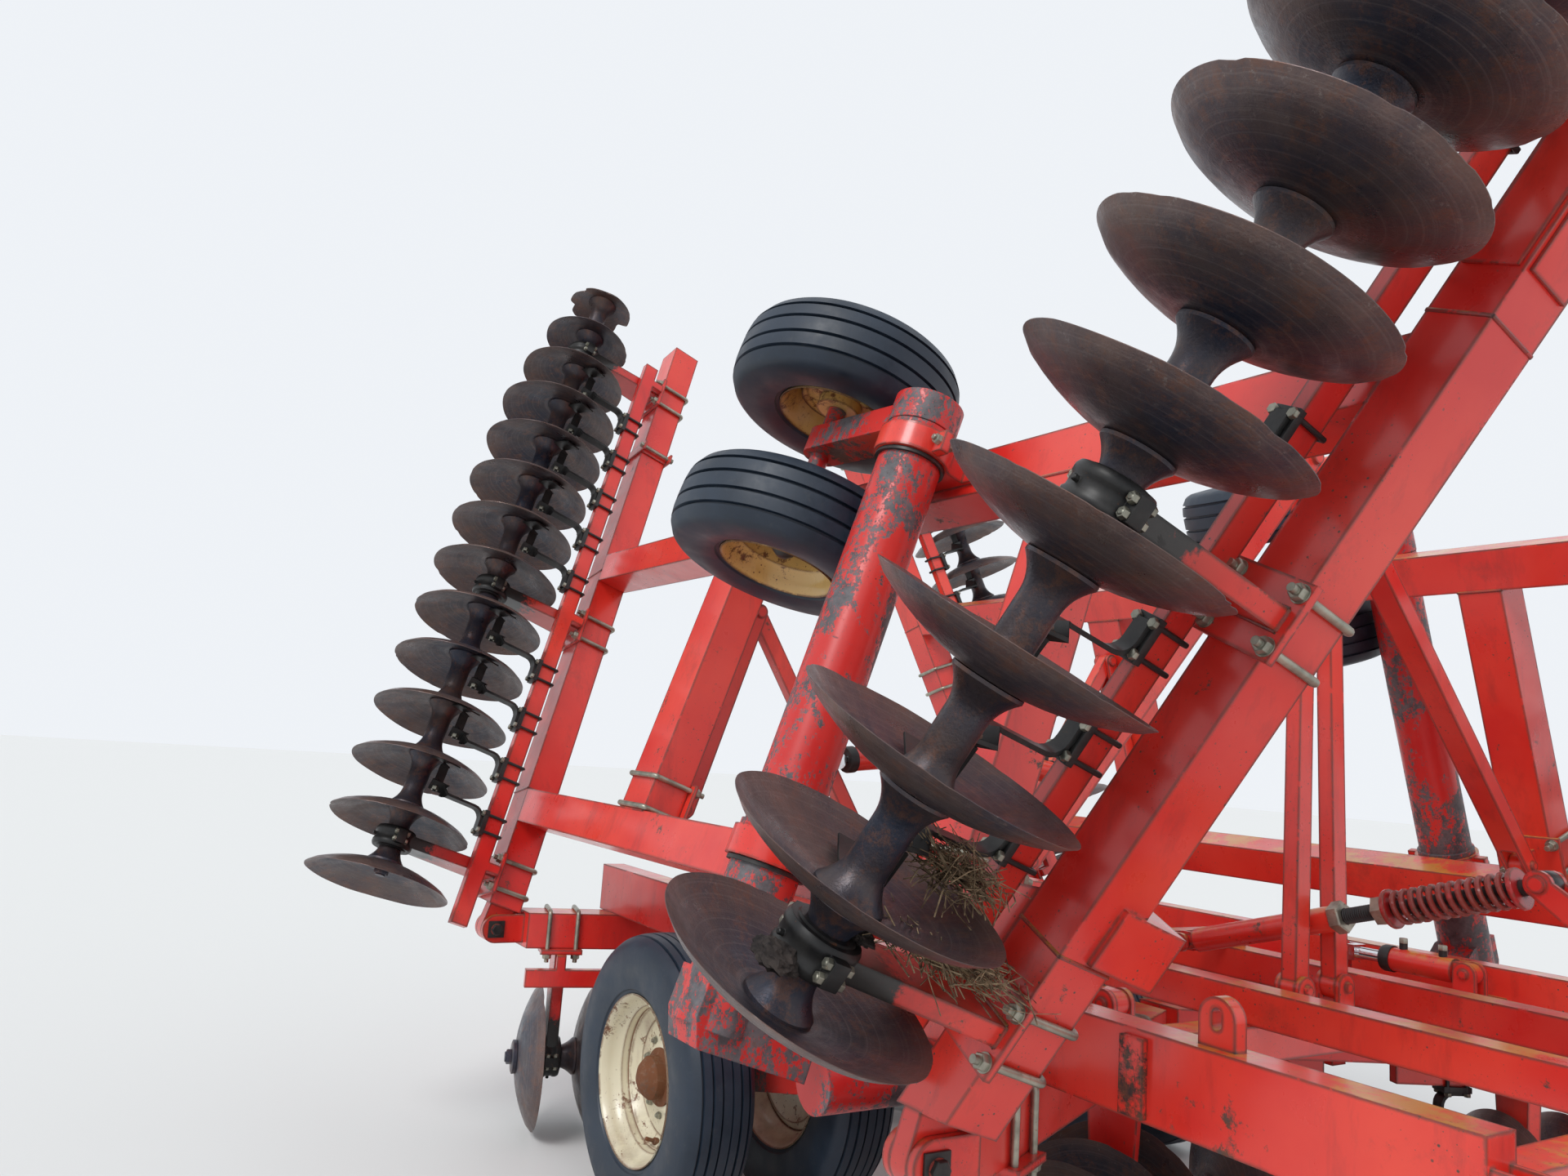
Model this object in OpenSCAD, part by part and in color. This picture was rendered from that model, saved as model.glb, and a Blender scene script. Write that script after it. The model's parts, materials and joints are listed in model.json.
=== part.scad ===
// Winged tandem disc harrow, folded for the road. Millimetres, +Z up, the hitch towards -Y.
// Each side is drawn from its fold line: x outward, y rearward from the front hinge, z up from the beams' middle.

/* [Frame] */
// Distance from the machine's middle to each fold line
half_w = 1620; // [1500:10:1800]
// Distance between the front and rear fold hinges
row_gap = 3010; // [2900:10:3200]
// Sweep of the front gangs, outer ends forward, in degrees
sweep_f = 25; // [20:1:27]
// Sweep of the rear gangs, outer ends rearward, in degrees
sweep_r = 14; // [10:1:16]
// Side of the square gang beams and wing tubes
beam = 152; // [120:2:160]
// Length of a wing's gang beams past the fold line
beam_reach = 3370; // [3340:10:3500]
// Height of the main rails
rail_h = 203; // [150:1:230]
// Width of the main rails
rail_w = 102; // [80:1:120]
// Distance from the fold line in to the main rails' outer faces
rail_inset = 500; // [480:5:520]
// How far the main rails reach ahead of the front hinges
rail_front = 930; // [850:10:1000]
// Side of the cross tubes between the main rails
cross = 102; // [90:1:110]
// Angle by which the wings are folded past level, in degrees
fold_angle = 109; // [100:1:112]

/* [Gangs] */
// Diameter of a full-size blade
blade_d = 610; // [560:5:620]
// Depth of a full-size blade's dish
dish = 85; // [60:1:95]
// Thickness of a blade
blade_t = 7; // [6:0.5:9]
// Distance between blades along a gang
pitch = 254; // [240:1:260]
// Height from a gang's axle up to the middle of its beam
gang_drop = 550; // [540:5:600]
// Gap between the ground and the blades of the centre section
ground_gap = 15; // [10:1:60]
// Radius of the spools at their waist, and of the journals
spool_r = 45; // [40:1:50]
// Radius of the spools at their flared ends
spool_flare_r = 78; // [70:1:90]
// Width of a bearing housing along its gang
housing_w = 80; // [70:1:84]

/* [Wheels] */
// Outer diameter of the centre tyres
centre_tyre_d = 1020; // [980:5:1040]
// Width of the centre tyres
centre_tyre_w = 270; // [240:5:280]
// Outer diameter of the wing tyres
wing_tyre_d = 782; // [740:2:790]
// Width of the wing tyres
wing_tyre_w = 270; // [240:5:280]

/* [Lift] */
// Radius of the centre rockshafts
rock_r = 84; // [76:1:90]
// Radius of the wings' rockshafts
wing_rock_r = 98; // [84:1:102]
// Distance from the front hinges back to the rockshafts
rock_y = 620; // [600:5:660]
// Depth of the wings' rockshafts below the beams' middle
wing_rock_drop = 240; // [225:5:260]

/* [Tongue] */
// Distance from the front hinges forward to the hitch's nose
tongue_reach = 3600; // [3300:10:3900]
// Height of the hitch pin's middle above the ground
hitch_z = 480; // [430:5:520]
// Radius of the hitch pin's hole
hitch_r = 19.5; // [15:0.5:22]

/* [Hidden] */

$fn = 48;
RED = "#c8202b";
STEEL = "#4a4340";
BLACK = "#1d1d1f";
CREAM = "#e6dfc4";
YELLOW = "#e0b040";
FRONT = 0;
REAR = 1;
RIGHT = -1;
LEFT = 1;
face_gap = 0.3;   // between pieces that move on each other
bore_gap = 0.05;  // round a pin
seat_gap = 0.05;  // between slanted faces that are welded together

// Places that follow from the sizes above
blade_r = blade_d / 2;
hinge_z = ground_gap + blade_r + gang_drop;
rail_x = -rail_inset - rail_w / 2;
rail_rear = row_gap - 10;
tube_x = 315;
tube_z = beam / 2 + cross;
pin_r = 25;
hinge_eye_r = 60;
lug_w = 60;
ear_w = 25;
wing_beam_start = 95;
centre_beam_end = 125;

// First rims along each gang from its fold line, and how many blades each gang has
front_first = 309;
front_count = 13;
rear_first = 10;
rear_count = 14;
centre_front_first = -200;
centre_rear_first = -244;
centre_count = floor((half_w - 96) / pitch);

// The rear wing gangs' last blades are smaller: share of a full blade by place from the end
small_ends = [0.57, 0.75, 0.9];

// Spaces between blades that hold a bearing, counted from the fold line
front_bearings = [0, 4, 9];
rear_bearings = [0, 5, 11];
centre_bearings = [0, centre_count - 2];
housing_off = 15;

function row_y(row) = row == FRONT ? 0 : row_gap;
function row_turn(row) = row == FRONT ? -sweep_f : sweep_r;
function dish_way(row) = row == FRONT ? 1 : -1;
function small_share(i, count, row) =
    row == REAR && count - 1 - i < len(small_ends) ? small_ends[count - 1 - i] : 1;

// The rearmost blade edge and the hitch's nose are equally far from the origin
rear_reach = row_gap + max([for (i = [0:rear_count - 1])
    (rear_first + i * pitch) * sin(sweep_r)
    + blade_r * small_share(i, rear_count, REAR) * cos(sweep_r)]);
y_front = (tongue_reach - rear_reach) / 2;

module side_of(side) {
    if (side < 0) mirror([1, 0, 0]) children();
    else children();
}

// A side's own frame: the fold line at x = 0, the front hinge at y = 0
module at_side(side) {
    side_of(side) translate([half_w, y_front, hinge_z]) children();
}

module at_wing(side) {
    at_side(side) rotate([0, -fold_angle, 0]) children();
}

module on_row(row) {
    translate([0, row_y(row), 0]) rotate([0, 0, row_turn(row)]) children();
}

module box(x, y, z) {
    translate([x[0], y[0], z[0]]) cube([x[1] - x[0], y[1] - y[0], z[1] - z[0]]);
}

module along_x(r, x) {
    translate([x[0], 0, 0]) rotate([0, 90, 0]) cylinder(r = r, h = x[1] - x[0]);
}

module along_y(r, y) {
    translate([0, y[0], 0]) rotate([-90, 0, 0]) cylinder(r = r, h = y[1] - y[0]);
}

// Plan of the line a distance off from a gang beam's middle, at x from the fold line
function beam_side(row, x, off) = [x, row_y(row) + x * tan(row_turn(row)) + off / cos(row_turn(row))];
function beam_tip(row, reach, off) = [
    reach * cos(row_turn(row)) - off * sin(row_turn(row)),
    row_y(row) + reach * sin(row_turn(row)) + off * cos(row_turn(row))];

// Gang beams
module wing_beam(row) {
    b = beam / 2;
    translate([0, 0, -b]) linear_extrude(beam) polygon([
        beam_side(row, wing_beam_start, -b), beam_tip(row, beam_reach, -b),
        beam_tip(row, beam_reach, b), beam_side(row, wing_beam_start, b)]);
}

module centre_beam(row) {
    b = beam / 2;
    inner = -half_w + 30;
    outer = -centre_beam_end;
    translate([0, 0, -b]) linear_extrude(beam) polygon([
        beam_side(row, inner, -b), beam_side(row, outer, -b),
        beam_side(row, outer, b), beam_side(row, inner, b)]);
}

// A wing's fold eye, round the pin
module hinge_lug(row) {
    y = row_y(row);
    difference() {
        union() {
            translate([0, y, 0]) along_y(hinge_eye_r, [-lug_w / 2, lug_w / 2]);
            box([0, wing_beam_start + 1], [y - lug_w / 2, y + lug_w / 2], [-hinge_eye_r, hinge_eye_r]);
        }
        translate([0, y, 0]) along_y(pin_r + bore_gap, [-lug_w, lug_w]);
    }
}

// The centre section's two ears and the pin through them
module hinge_ears(row) {
    y = row_y(row);
    inner = lug_w / 2 + face_gap;
    for (way = [-1, 1]) {
        near = way * inner;
        far = way * (inner + ear_w);
        span = [y + min(near, far), y + max(near, far)];
        along_y_at = [min(near, far), max(near, far)];
        translate([0, y, 0]) along_y(hinge_eye_r, along_y_at);
        box([-centre_beam_end - 1, 0], span, [-hinge_eye_r, hinge_eye_r]);
    }
    translate([0, y, 0]) along_y(pin_r, [-inner - ear_w - 12, inner + ear_w + 12]);
}

// Discs
function dish_r(share) = (pow(blade_r * share, 2) + pow(dish * share, 2)) / (2 * dish * share);

// Section of a blade: its hub at z = 0, its rim dish * share up
module blade_section(share) {
    ball = dish_r(share);
    edge = asin(blade_r * share / ball);
    steps = 5;
    from = asin(20 / ball);
    polygon(concat(
        [for (i = [0:steps]) let (a = from + (edge - from) * i / steps)
            [ball * sin(a), ball * (1 - cos(a))]],
        [for (i = [steps:-1:0]) let (a = from + (edge - from) * i / steps)
            [(ball + blade_t) * sin(a) * (i == steps ? ball / (ball + blade_t) : 1),
             ball * (1 - cos(a)) - blade_t * cos(a)]]));
}

module blade(share) {
    rotate_extrude() blade_section(share);
}

// Section of a spool between two blades' hubs
module spool_section(long) {
    flare = 60;
    polygon([[0, 0], [spool_flare_r, 0], [spool_flare_r, 10], [spool_flare_r - 18, 30], [spool_r, flare],
        [spool_r, long - flare], [spool_flare_r - 18, long - 30], [spool_flare_r, long - 10],
        [spool_flare_r, long], [0, long]]);
}

// A gang turned about its own axle: +z outward, the first blade's hub at z = 0
module gang_solid(row, count) {
    way = dish_way(row);
    for (i = [0:count - 1]) {
        translate([0, 0, i * pitch]) {
            mirror([0, 0, way < 0 ? 1 : 0]) blade(small_share(i, count, row));
            if (i < count - 1) rotate_extrude() spool_section(pitch);
        }
    }
    rotate_extrude() polygon([[0, -50], [32, -50], [32, -22], [70, -22], [70, 0], [0, 0]]);
    translate([0, 0, (count - 1) * pitch])
        rotate_extrude() polygon([[0, 0], [70, 0], [70, 22], [32, 22], [32, 50], [0, 50]]);
}

module gang(row, first, count) {
    hub = first - dish_way(row) * dish;
    on_row(row) translate([hub, 0, -gang_drop]) rotate([0, 90, 0]) gang_solid(row, count);
}

// A bearing arm: plate under the beam, tapered arm and a housing round the gang's journal
plate_t = 20;
plate_side = 35;
standard_t = 50;
housing_r = 78;
function arm_place(row, first, space) =
    first - dish_way(row) * dish + space * pitch + pitch / 2 + dish_way(row) * housing_off;
module standard(row, first, space) {
    s = arm_place(row, first, space);
    top = -beam / 2;
    on_row(row) translate([s, 0, 0]) {
        box([-90, 90], [-beam / 2 - plate_side, beam / 2 + plate_side], [top - plate_t, top]);
        difference() {
            union() {
                rotate([0, 90, 0]) linear_extrude(standard_t, center = true) polygon([
                    [-top + plate_t, -beam / 2 - 10], [-top + plate_t, beam / 2 + 10],
                    [gang_drop - 30, 60], [gang_drop - 30, -60]]);
                translate([0, 0, -gang_drop]) along_x(housing_r, [-housing_w / 2, housing_w / 2]);
            }
            translate([0, 0, -gang_drop]) along_x(spool_r + face_gap, [-housing_w, housing_w]);
        }
    }
}

module standards(row, first, spaces) {
    for (space = spaces) standard(row, first, space);
}

// The bar that carries the scrapers of a gang, hung from the edges of the bearing arms' plates
bar_drops = [15, 60];
bar_h = 75;
bar_w = 40;
bar_off = beam / 2 + plate_side;
module scraper_bar(row, from, to, arms) {
    way = row == FRONT ? 1 : -1;
    top = -beam / 2 - plate_t;
    low = top - bar_drops[row];
    on_row(row) translate([0, way * bar_off, 0]) {
        box([from, to], [-bar_w / 2, bar_w / 2], [low - bar_h, low]);
        for (s = arms) if (s > from + 20 && s < to - 20)
            box([s - 20, s + 20], [-bar_w / 2, bar_w / 2], [low - 1, top]);
    }
}

// Wing frame between its gang beams
wing_in_x = 540;
wing_out_x = 1800;
module fore_aft_tube(x) {
    b = beam / 2;
    translate([0, 0, -b]) linear_extrude(beam) polygon([
        beam_side(FRONT, x - b, b + seat_gap), beam_side(FRONT, x + b, b + seat_gap),
        beam_side(REAR, x + b, -b - seat_gap), beam_side(REAR, x - b, -b - seat_gap)]);
}

cross_front_y = 130;
cross_rear_y = 1930;
rear_cross_w = 200;
module wing_cross_tube(y, w) {
    box([wing_in_x + beam / 2, wing_out_x - beam / 2], [y - w / 2, y + w / 2], [-beam / 2, beam / 2]);
}

// Where a point [x, z] of the wing's own frame lies in the side's frame, folded
function folded(p) = [p[0] * cos(fold_angle) - p[1] * sin(fold_angle),
    p[0] * sin(fold_angle) + p[1] * cos(fold_angle)];

// Fold linkage as [x, z]: pins in the wing's own frame, apexes and arm feet in the side's frame, folded
front_wing_pin = [721, 158];
rear_wing_pin = [689, 125];
front_pin = folded(front_wing_pin);
rear_pin = folded(rear_wing_pin);
front_apex = [-half_w + 60, 1900];
front_base = [-half_w + 100, 260];
rear_apex = [-half_w + 1014, 1406];
rear_base = [-half_w + tube_x, 330];
link_pin_r = 16;
front_y = cross_front_y;
rear_y = cross_rear_y;

arm_t = 50;
arm_w = 64;
arm_eye = 40;
link_w = 64;
link_free = 360;
cheek_t = 16;

// Lay a piece along x from a to b, both [x, z], in the plane y
module from_to(a, b, y) {
    translate([a[0], y, a[1]]) rotate([0, -atan2(b[1] - a[1], b[0] - a[0]), 0]) children();
}

// Both sides of a gap t wide about y = 0, as plates of the given thickness
module both_sides(t, plate) {
    for (way = [-1, 1])
        translate([0, way * (t / 2 + face_gap + plate / 2), 0]) children();
}

// A fold arm: a bar with an eye at its foot and a round tip that the link's cheeks close on
module arm_bar(long) {
    difference() {
        union() {
            box([0, long], [-arm_t / 2, arm_t / 2], [-arm_w / 2, arm_w / 2]);
            along_y(arm_eye, [-arm_t / 2, arm_t / 2]);
            translate([long, 0, 0]) along_y(arm_w / 2, [-arm_t / 2, arm_t / 2]);
        }
        along_y(link_pin_r + bore_gap, [-arm_t, arm_t]);
    }
}

// A fold link: two cheeks along its length, a bar between them clear of the arm, and its pin
module link_bar(long) {
    both_sides(arm_t, cheek_t) {
        box([0, long], [-cheek_t / 2, cheek_t / 2], [-link_w / 2, link_w / 2]);
        for (x = [0, long]) translate([x, 0, 0]) along_y(link_w / 2, [-cheek_t / 2, cheek_t / 2]);
    }
    box([90, long - link_free], [-arm_t / 2 - 1, arm_t / 2 + 1], [-link_w / 2, link_w / 2]);
    pin_end = arm_t / 2 + cheek_t + 12;
    along_y(link_pin_r, [-pin_end, pin_end]);
    for (way = [-1, 1]) translate([long, way * (pin_end - 7), 0]) along_y(link_pin_r + 8, [-7, 7]);
}

module centre_rail() {
    box([rail_x - rail_w / 2, rail_x + rail_w / 2], [-rail_front, rail_rear], [beam / 2, beam / 2 + rail_h]);
}

// A thick lug with a slot, standing on a main rail for the road lock
lock_y = -350;
lock_h = 110;
lock_r = 48;
lock_t = 40;
slot_r = 13;
slot_long = 24;
module lock_lug() {
    mid = lock_h - lock_r;
    translate([rail_x, lock_y, beam / 2 + rail_h]) rotate([0, 0, 90]) difference() {
        union() {
            box([-lock_r, lock_r], [-lock_t / 2, lock_t / 2], [-1, mid]);
            translate([0, 0, mid]) along_y(lock_r, [-lock_t / 2, lock_t / 2]);
        }
        for (z = [mid - slot_long / 2, mid + slot_long / 2])
            translate([0, 0, z]) along_y(slot_r, [-lock_t, lock_t]);
        box([-slot_r, slot_r], [-lock_t, lock_t], [mid - slot_long / 2, mid + slot_long / 2]);
    }
}

module main_rails() {
    color(RED) {
        for (side = [RIGHT, LEFT]) at_side(side) {
            centre_rail();
            lock_lug();
        }
        tongue_ears();
    }
}

cross_ys = [-850, 130, 1150, 2560];
module cross_tubes() {
    reach = half_w + rail_x - rail_w / 2;
    z = hinge_z + beam / 2;
    color(RED) for (y = cross_ys)
        box([-reach, reach], [y_front + y - cross / 2, y_front + y + cross / 2], [z, z + cross]);
    color(RED) for (side = [RIGHT, LEFT]) {
        base_ears(side, front_base, front_y, tube_z);
        at_lift(side) ears(ram_eye_t, 38, tube_z, lift_z);
    }
}

module centre_tubes() {
    color(RED) {
        for (side = [RIGHT, LEFT]) side_of(side)
            box([tube_x - cross / 2, tube_x + cross / 2],
                [y_front + cross_ys[0] - cross / 2, y_front + cross_ys[3] + cross / 2],
                [hinge_z + tube_z, hinge_z + tube_z + cross]);
        for (side = [RIGHT, LEFT]) base_ears(side, rear_base, rear_y, tube_z + cross);
        fold_tower();
        levelling_seat();
    }
}

// Two ears and a pin for a fold arm's foot, standing on z
module base_ears(side, base, y, z) {
    at_side(side) translate([base[0], y, 0]) ears(arm_t, arm_eye, z, base[1]);
}

// Fold rams, in a side's frame: barrel pivot on the tower and how far up the rear arm the rod takes hold
ram_base = [-half_w + 60, 900];
ram_hold = 600;
ram_y = rear_y - 95;
ram_eye_t = 50;
ram_eye = 34;
function along(a, b, d) = a + (b - a) * d / norm(b - a);
ram_tip = along(rear_base, rear_apex, ram_hold);

// The tower on the centre tubes that holds the fold rams
module fold_tower() {
    foot_z = tube_z + cross;
    top_z = ram_base[1] + 45;
    inner = tube_x - cross / 2;
    outer = tube_x + cross / 2;
    translate([0, y_front + ram_y, hinge_z]) {
        both_sides(ram_eye_t, cheek_t) rotate([90, 0, 0]) linear_extrude(cheek_t, center = true)
            polygon([[-outer, foot_z], [-95, top_z], [95, top_z], [outer, foot_z],
                [inner, foot_z], [60, top_z - 180], [-60, top_z - 180], [-inner, foot_z]]);
        for (side = [RIGHT, LEFT]) side_of(side) translate([half_w + ram_base[0], 0, ram_base[1]])
            along_y(link_pin_r, [-ram_eye_t / 2 - cheek_t - 12, ram_eye_t / 2 + cheek_t + 12]);
    }
}

module centre_beams(row) {
    color(RED) for (side = [RIGHT, LEFT]) at_side(side) {
        centre_beam(row);
        hinge_ears(row);
    }
}

module centre_standards() {
    color(RED) for (side = [RIGHT, LEFT]) at_side(side) {
        standards(FRONT, centre_front_first - (centre_count - 1) * pitch, centre_bearings);
        standards(REAR, centre_rear_first - (centre_count - 1) * pitch, centre_bearings);
    }
}

bearing_w = 80;
inner_bearing_x = -880;

// Row and ends of each bar; the front ones leave room for the rockshafts' inner bearings
centre_bar_start = -half_w + 120;
centre_bars = [[FRONT, centre_bar_start, inner_bearing_x - 200], [FRONT, inner_bearing_x + 80, -150],
    [REAR, centre_bar_start, -150]];
module centre_scraper_bars() {
    color(RED) for (side = [RIGHT, LEFT]) at_side(side)
        for (bar = centre_bars) {
            first = (bar[0] == FRONT ? centre_front_first : centre_rear_first) - (centre_count - 1) * pitch;
            scraper_bar(bar[0], bar[1], bar[2],
                [for (space = centre_bearings) arm_place(bar[0], first, space)]);
        }
}

// Centre rockshafts
centre_rock_z = -20;
centre_rock_x = [-920, -130];
module rockshaft_bearings() {
    w = bearing_w / 2;
    x = inner_bearing_x;
    color(RED) for (side = [RIGHT, LEFT]) at_side(side) difference() {
        union() {
            box([rail_x - w, rail_x + w], [rock_y - 110, rock_y + 110], [centre_rock_z - 110, beam / 2]);
            box([x - w, x + w], [rock_y - 100, rock_y + 110], [centre_rock_z - 110, beam / 2]);
            translate([0, 0, -beam / 2]) linear_extrude(beam) polygon([
                beam_side(FRONT, x - w, beam / 2 + seat_gap), beam_side(FRONT, x + w, beam / 2 + seat_gap),
                [x + w, rock_y], [x - w, rock_y]]);
        }
        translate([0, rock_y, centre_rock_z]) along_x(rock_r + face_gap, [inner_bearing_x - 100, 0]);
    }
}

centre_axle_y = 1890;
centre_axle_z = centre_tyre_d / 2 - hinge_z;
centre_wheel_xs = [-320, -920];
centre_arm_x = -640;
lever_x = -740;
lever_h = 280;
lever_t = 40;
lever_play = 5;
module centre_rockshaft(side) {
    color(RED) at_side(side) {
        translate([0, rock_y, centre_rock_z]) along_x(rock_r, centre_rock_x);
        hull() {
            translate([centre_arm_x, rock_y, centre_rock_z]) along_x(100, [-35, 35]);
            translate([centre_arm_x, centre_axle_y, centre_axle_z]) along_x(70, [-35, 35]);
        }
        translate([0, centre_axle_y, centre_axle_z]) along_x(38, [centre_wheel_xs[1], centre_wheel_xs[0]]);
        translate([lever_x, rock_y, centre_rock_z]) difference() {
            union() {
                box([-lever_t / 2, lever_t / 2], [-50, 50], [0, lever_h]);
                translate([0, 0, lever_h]) along_x(50, [-lever_t / 2, lever_t / 2]);
            }
            translate([0, 0, lever_h]) along_x(link_pin_r + lever_play, [-lever_t, lever_t]);
        }
    }
}

// A tyre and its rim, turned about x, with the rim's dish on the outward side
module tyre_section(d, w, rim_d) {
    r = d / 2;
    k = rim_d / 2;
    polygon([[k, -w * 0.36], [k + 12, -w * 0.42], [k + (r - k) * 0.5, -w / 2], [r - 35, -w * 0.44],
        [r - 8, -w * 0.36], [r, -w * 0.24], [r, w * 0.24], [r - 8, w * 0.36], [r - 35, w * 0.44],
        [k + (r - k) * 0.5, w / 2], [k + 12, w * 0.42], [k, w * 0.36]]);
}

module tyre(d, w, rim_d) {
    rotate([0, 90, 0]) rotate_extrude($fn = 64) tyre_section(d, w, rim_d);
}

module rim(w, rim_d, hub_r, axle_r) {
    k = rim_d / 2 - face_gap;
    e = w * 0.36;
    rotate([0, 90, 0]) rotate_extrude($fn = 64) polygon([
        [axle_r, -60], [hub_r, -60], [hub_r, 20], [k * 0.62, 24], [k - 42, 46], [k - 26, e - 20],
        [k - 26, -e], [k, -e], [k, e], [k - 16, e], [k - 36, e - 14], [k - 56, 52], [k * 0.6, 36],
        [hub_r * 0.75, 40], [hub_r * 0.5, 100], [axle_r, 104]]);
}

centre_rim_d = 572;
wing_rim_d = 381;
module centre_wheels(side, part) {
    at_side(side) for (x = centre_wheel_xs) {
        out = x > centre_arm_x ? 1 : -1;
        translate([x, centre_axle_y, centre_axle_z]) mirror([out < 0 ? 1 : 0, 0, 0]) {
            if (part == "tyre") tyre(centre_tyre_d, centre_tyre_w, centre_rim_d);
            else rim(centre_tyre_w, centre_rim_d, 110, 38 + face_gap);
        }
    }
}

// Wing rockshaft, its elbow at the fold line and its arm between the twin wheels
wing_rock_x = [70, 1960];
wing_axle_y = rock_y + wing_rock_r + wing_tyre_d / 2 + 8;
wing_axle_z = -280;
wing_wheel_xs = [1550, 2130];
wing_arm_x = [1862, 1952];
wing_arm_h = 120;
module wing_rockshaft(side) {
    color(RED) at_wing(side) {
        translate([0, rock_y, -wing_rock_drop]) {
            along_x(wing_rock_r, wing_rock_x);
            along_x(wing_rock_r + 10, [wing_arm_x[0], wing_rock_x[1]]);
            for (x = [wing_in_x, wing_out_x])
                along_x(wing_rock_r + 8, [x + bearing_w / 2 + face_gap, x + bearing_w / 2 + 20]);
        }
        translate([0, rock_y, 0]) linear_extrude_y(160, [[20, 45], [20, -300], [90, -330], [200, -330],
            [200, -160], [110, 45]]);
        wing_arm();
        translate([0, wing_axle_y, wing_axle_z]) along_x(32, wing_wheel_xs);
    }
}

// The square arm from the rockshaft to the axle, its end rounded round the axle
module wing_arm() {
    run = [wing_axle_y - rock_y, wing_axle_z + wing_rock_drop];
    h = wing_arm_h / 2;
    translate([0, rock_y, -wing_rock_drop]) rotate([atan2(run[1], run[0]), 0, 0]) {
        box(wing_arm_x, [0, norm(run)], [-h, h]);
        translate([0, norm(run), 0]) along_x(h, wing_arm_x);
    }
}

// An outline of [x, z] points made w wide about y = 0
module linear_extrude_y(w, points) {
    translate([0, w / 2, 0]) rotate([90, 0, 0]) linear_extrude(w) polygon(points);
}

module wing_wheels(side, part) {
    at_wing(side) for (x = wing_wheel_xs) {
        out = x > wing_arm_x[0] ? 1 : -1;
        translate([x, wing_axle_y, wing_axle_z]) mirror([out < 0 ? 1 : 0, 0, 0]) {
            if (part == "tyre") tyre(wing_tyre_d, wing_tyre_w, wing_rim_d);
            else rim(wing_tyre_w, wing_rim_d, 75, 32 + face_gap);
        }
    }
}

// A round bearing sleeve with a saddle up to the fore-aft tube
module wing_bearing(x) {
    w = bearing_w / 2;
    difference() {
        union() {
            translate([0, rock_y, -wing_rock_drop]) along_x(wing_rock_r + 20, [x - w, x + w]);
            box([x - w, x + w], [rock_y - 75, rock_y + 75], [-wing_rock_drop, -beam / 2]);
            box([x - w, x + w], [rock_y - 120, rock_y + 120], [-beam / 2 - 16, -beam / 2]);
        }
        translate([0, rock_y, -wing_rock_drop]) along_x(wing_rock_r + face_gap, [x - 100, x + 100]);
    }
}

// A square stub welded to the top and the front face of a wing's front beam
stub_s = [580, 720];
stub_h = 115;
stub_t = 16;
module stop_stub() {
    face = -beam / 2;
    on_row(FRONT) {
        box(stub_s, [face - stub_t, 50], [beam / 2, beam / 2 + stub_h]);
        box(stub_s, [face - stub_t, face + 1], [0, beam / 2 + 1]);
        box(stub_s, [face, 50], [beam / 2 - 1, beam / 2 + 1]);
    }
}

module wing_beams(side) {
    color(RED) at_wing(side) {
        for (row = [FRONT, REAR]) {
            wing_beam(row);
            hinge_lug(row);
        }
        stop_stub();
    }
}

module wing_rails(side) {
    color(RED) at_wing(side) for (x = [wing_in_x, wing_out_x]) {
        fore_aft_tube(x);
        wing_bearing(x);
    }
}

// The lug on a wing's cross tube that a fold link closes on
module wing_lug(pin, y) {
    r = 38;
    translate([pin[0], y, 0]) difference() {
        union() {
            translate([0, 0, pin[1]]) along_y(r, [-arm_t / 2, arm_t / 2]);
            box([-r, r], [-arm_t / 2, arm_t / 2], [beam / 2, pin[1]]);
        }
        translate([0, 0, pin[1]]) along_y(link_pin_r + bore_gap, [-arm_t, arm_t]);
    }
}

module wing_cross_tubes(side) {
    color(RED) at_wing(side) {
        wing_cross_tube(cross_front_y, beam);
        wing_cross_tube(cross_rear_y, rear_cross_w);
        wing_lug(front_wing_pin, front_y);
        wing_lug(rear_wing_pin, rear_y);
    }
}

module wing_standards(side) {
    color(RED) at_wing(side) {
        standards(FRONT, front_first, front_bearings);
        standards(REAR, rear_first, rear_bearings);
    }
}

module wing_scraper_bars(side) {
    color(RED) at_wing(side) {
        scraper_bar(FRONT, 130, beam_reach - 70,
            [for (space = front_bearings) arm_place(FRONT, front_first, space)]);
        scraper_bar(REAR, -60, beam_reach - 270,
            [for (space = rear_bearings) arm_place(REAR, rear_first, space)]);
    }
}

module wing_gang(side, row) {
    color(STEEL) at_wing(side)
        if (row == FRONT) gang(FRONT, front_first, front_count);
        else gang(REAR, rear_first, rear_count);
}

module centre_gang(side, row) {
    first = row == FRONT ? centre_front_first : centre_rear_first;
    color(STEEL) at_side(side) gang(row, first - (centre_count - 1) * pitch, centre_count);
}

// Fold arms and links
module fold_arm(side, end) {
    base = end == FRONT ? front_base : rear_base;
    apex = end == FRONT ? front_apex : rear_apex;
    color(RED) at_side(side) from_to(base, apex, end == FRONT ? front_y : rear_y) {
        arm_bar(norm(apex - base));
        if (end == REAR) translate([ram_hold, 0, 0])
            along_y(link_pin_r, [ram_y - rear_y + ram_eye_t / 2 + face_gap, 0]);
    }
}

module fold_link(side, end) {
    pin = end == FRONT ? front_pin : rear_pin;
    apex = end == FRONT ? front_apex : rear_apex;
    color(RED) at_side(side) from_to(pin, apex, end == FRONT ? front_y : rear_y)
        link_bar(norm(apex - pin));
}

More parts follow.
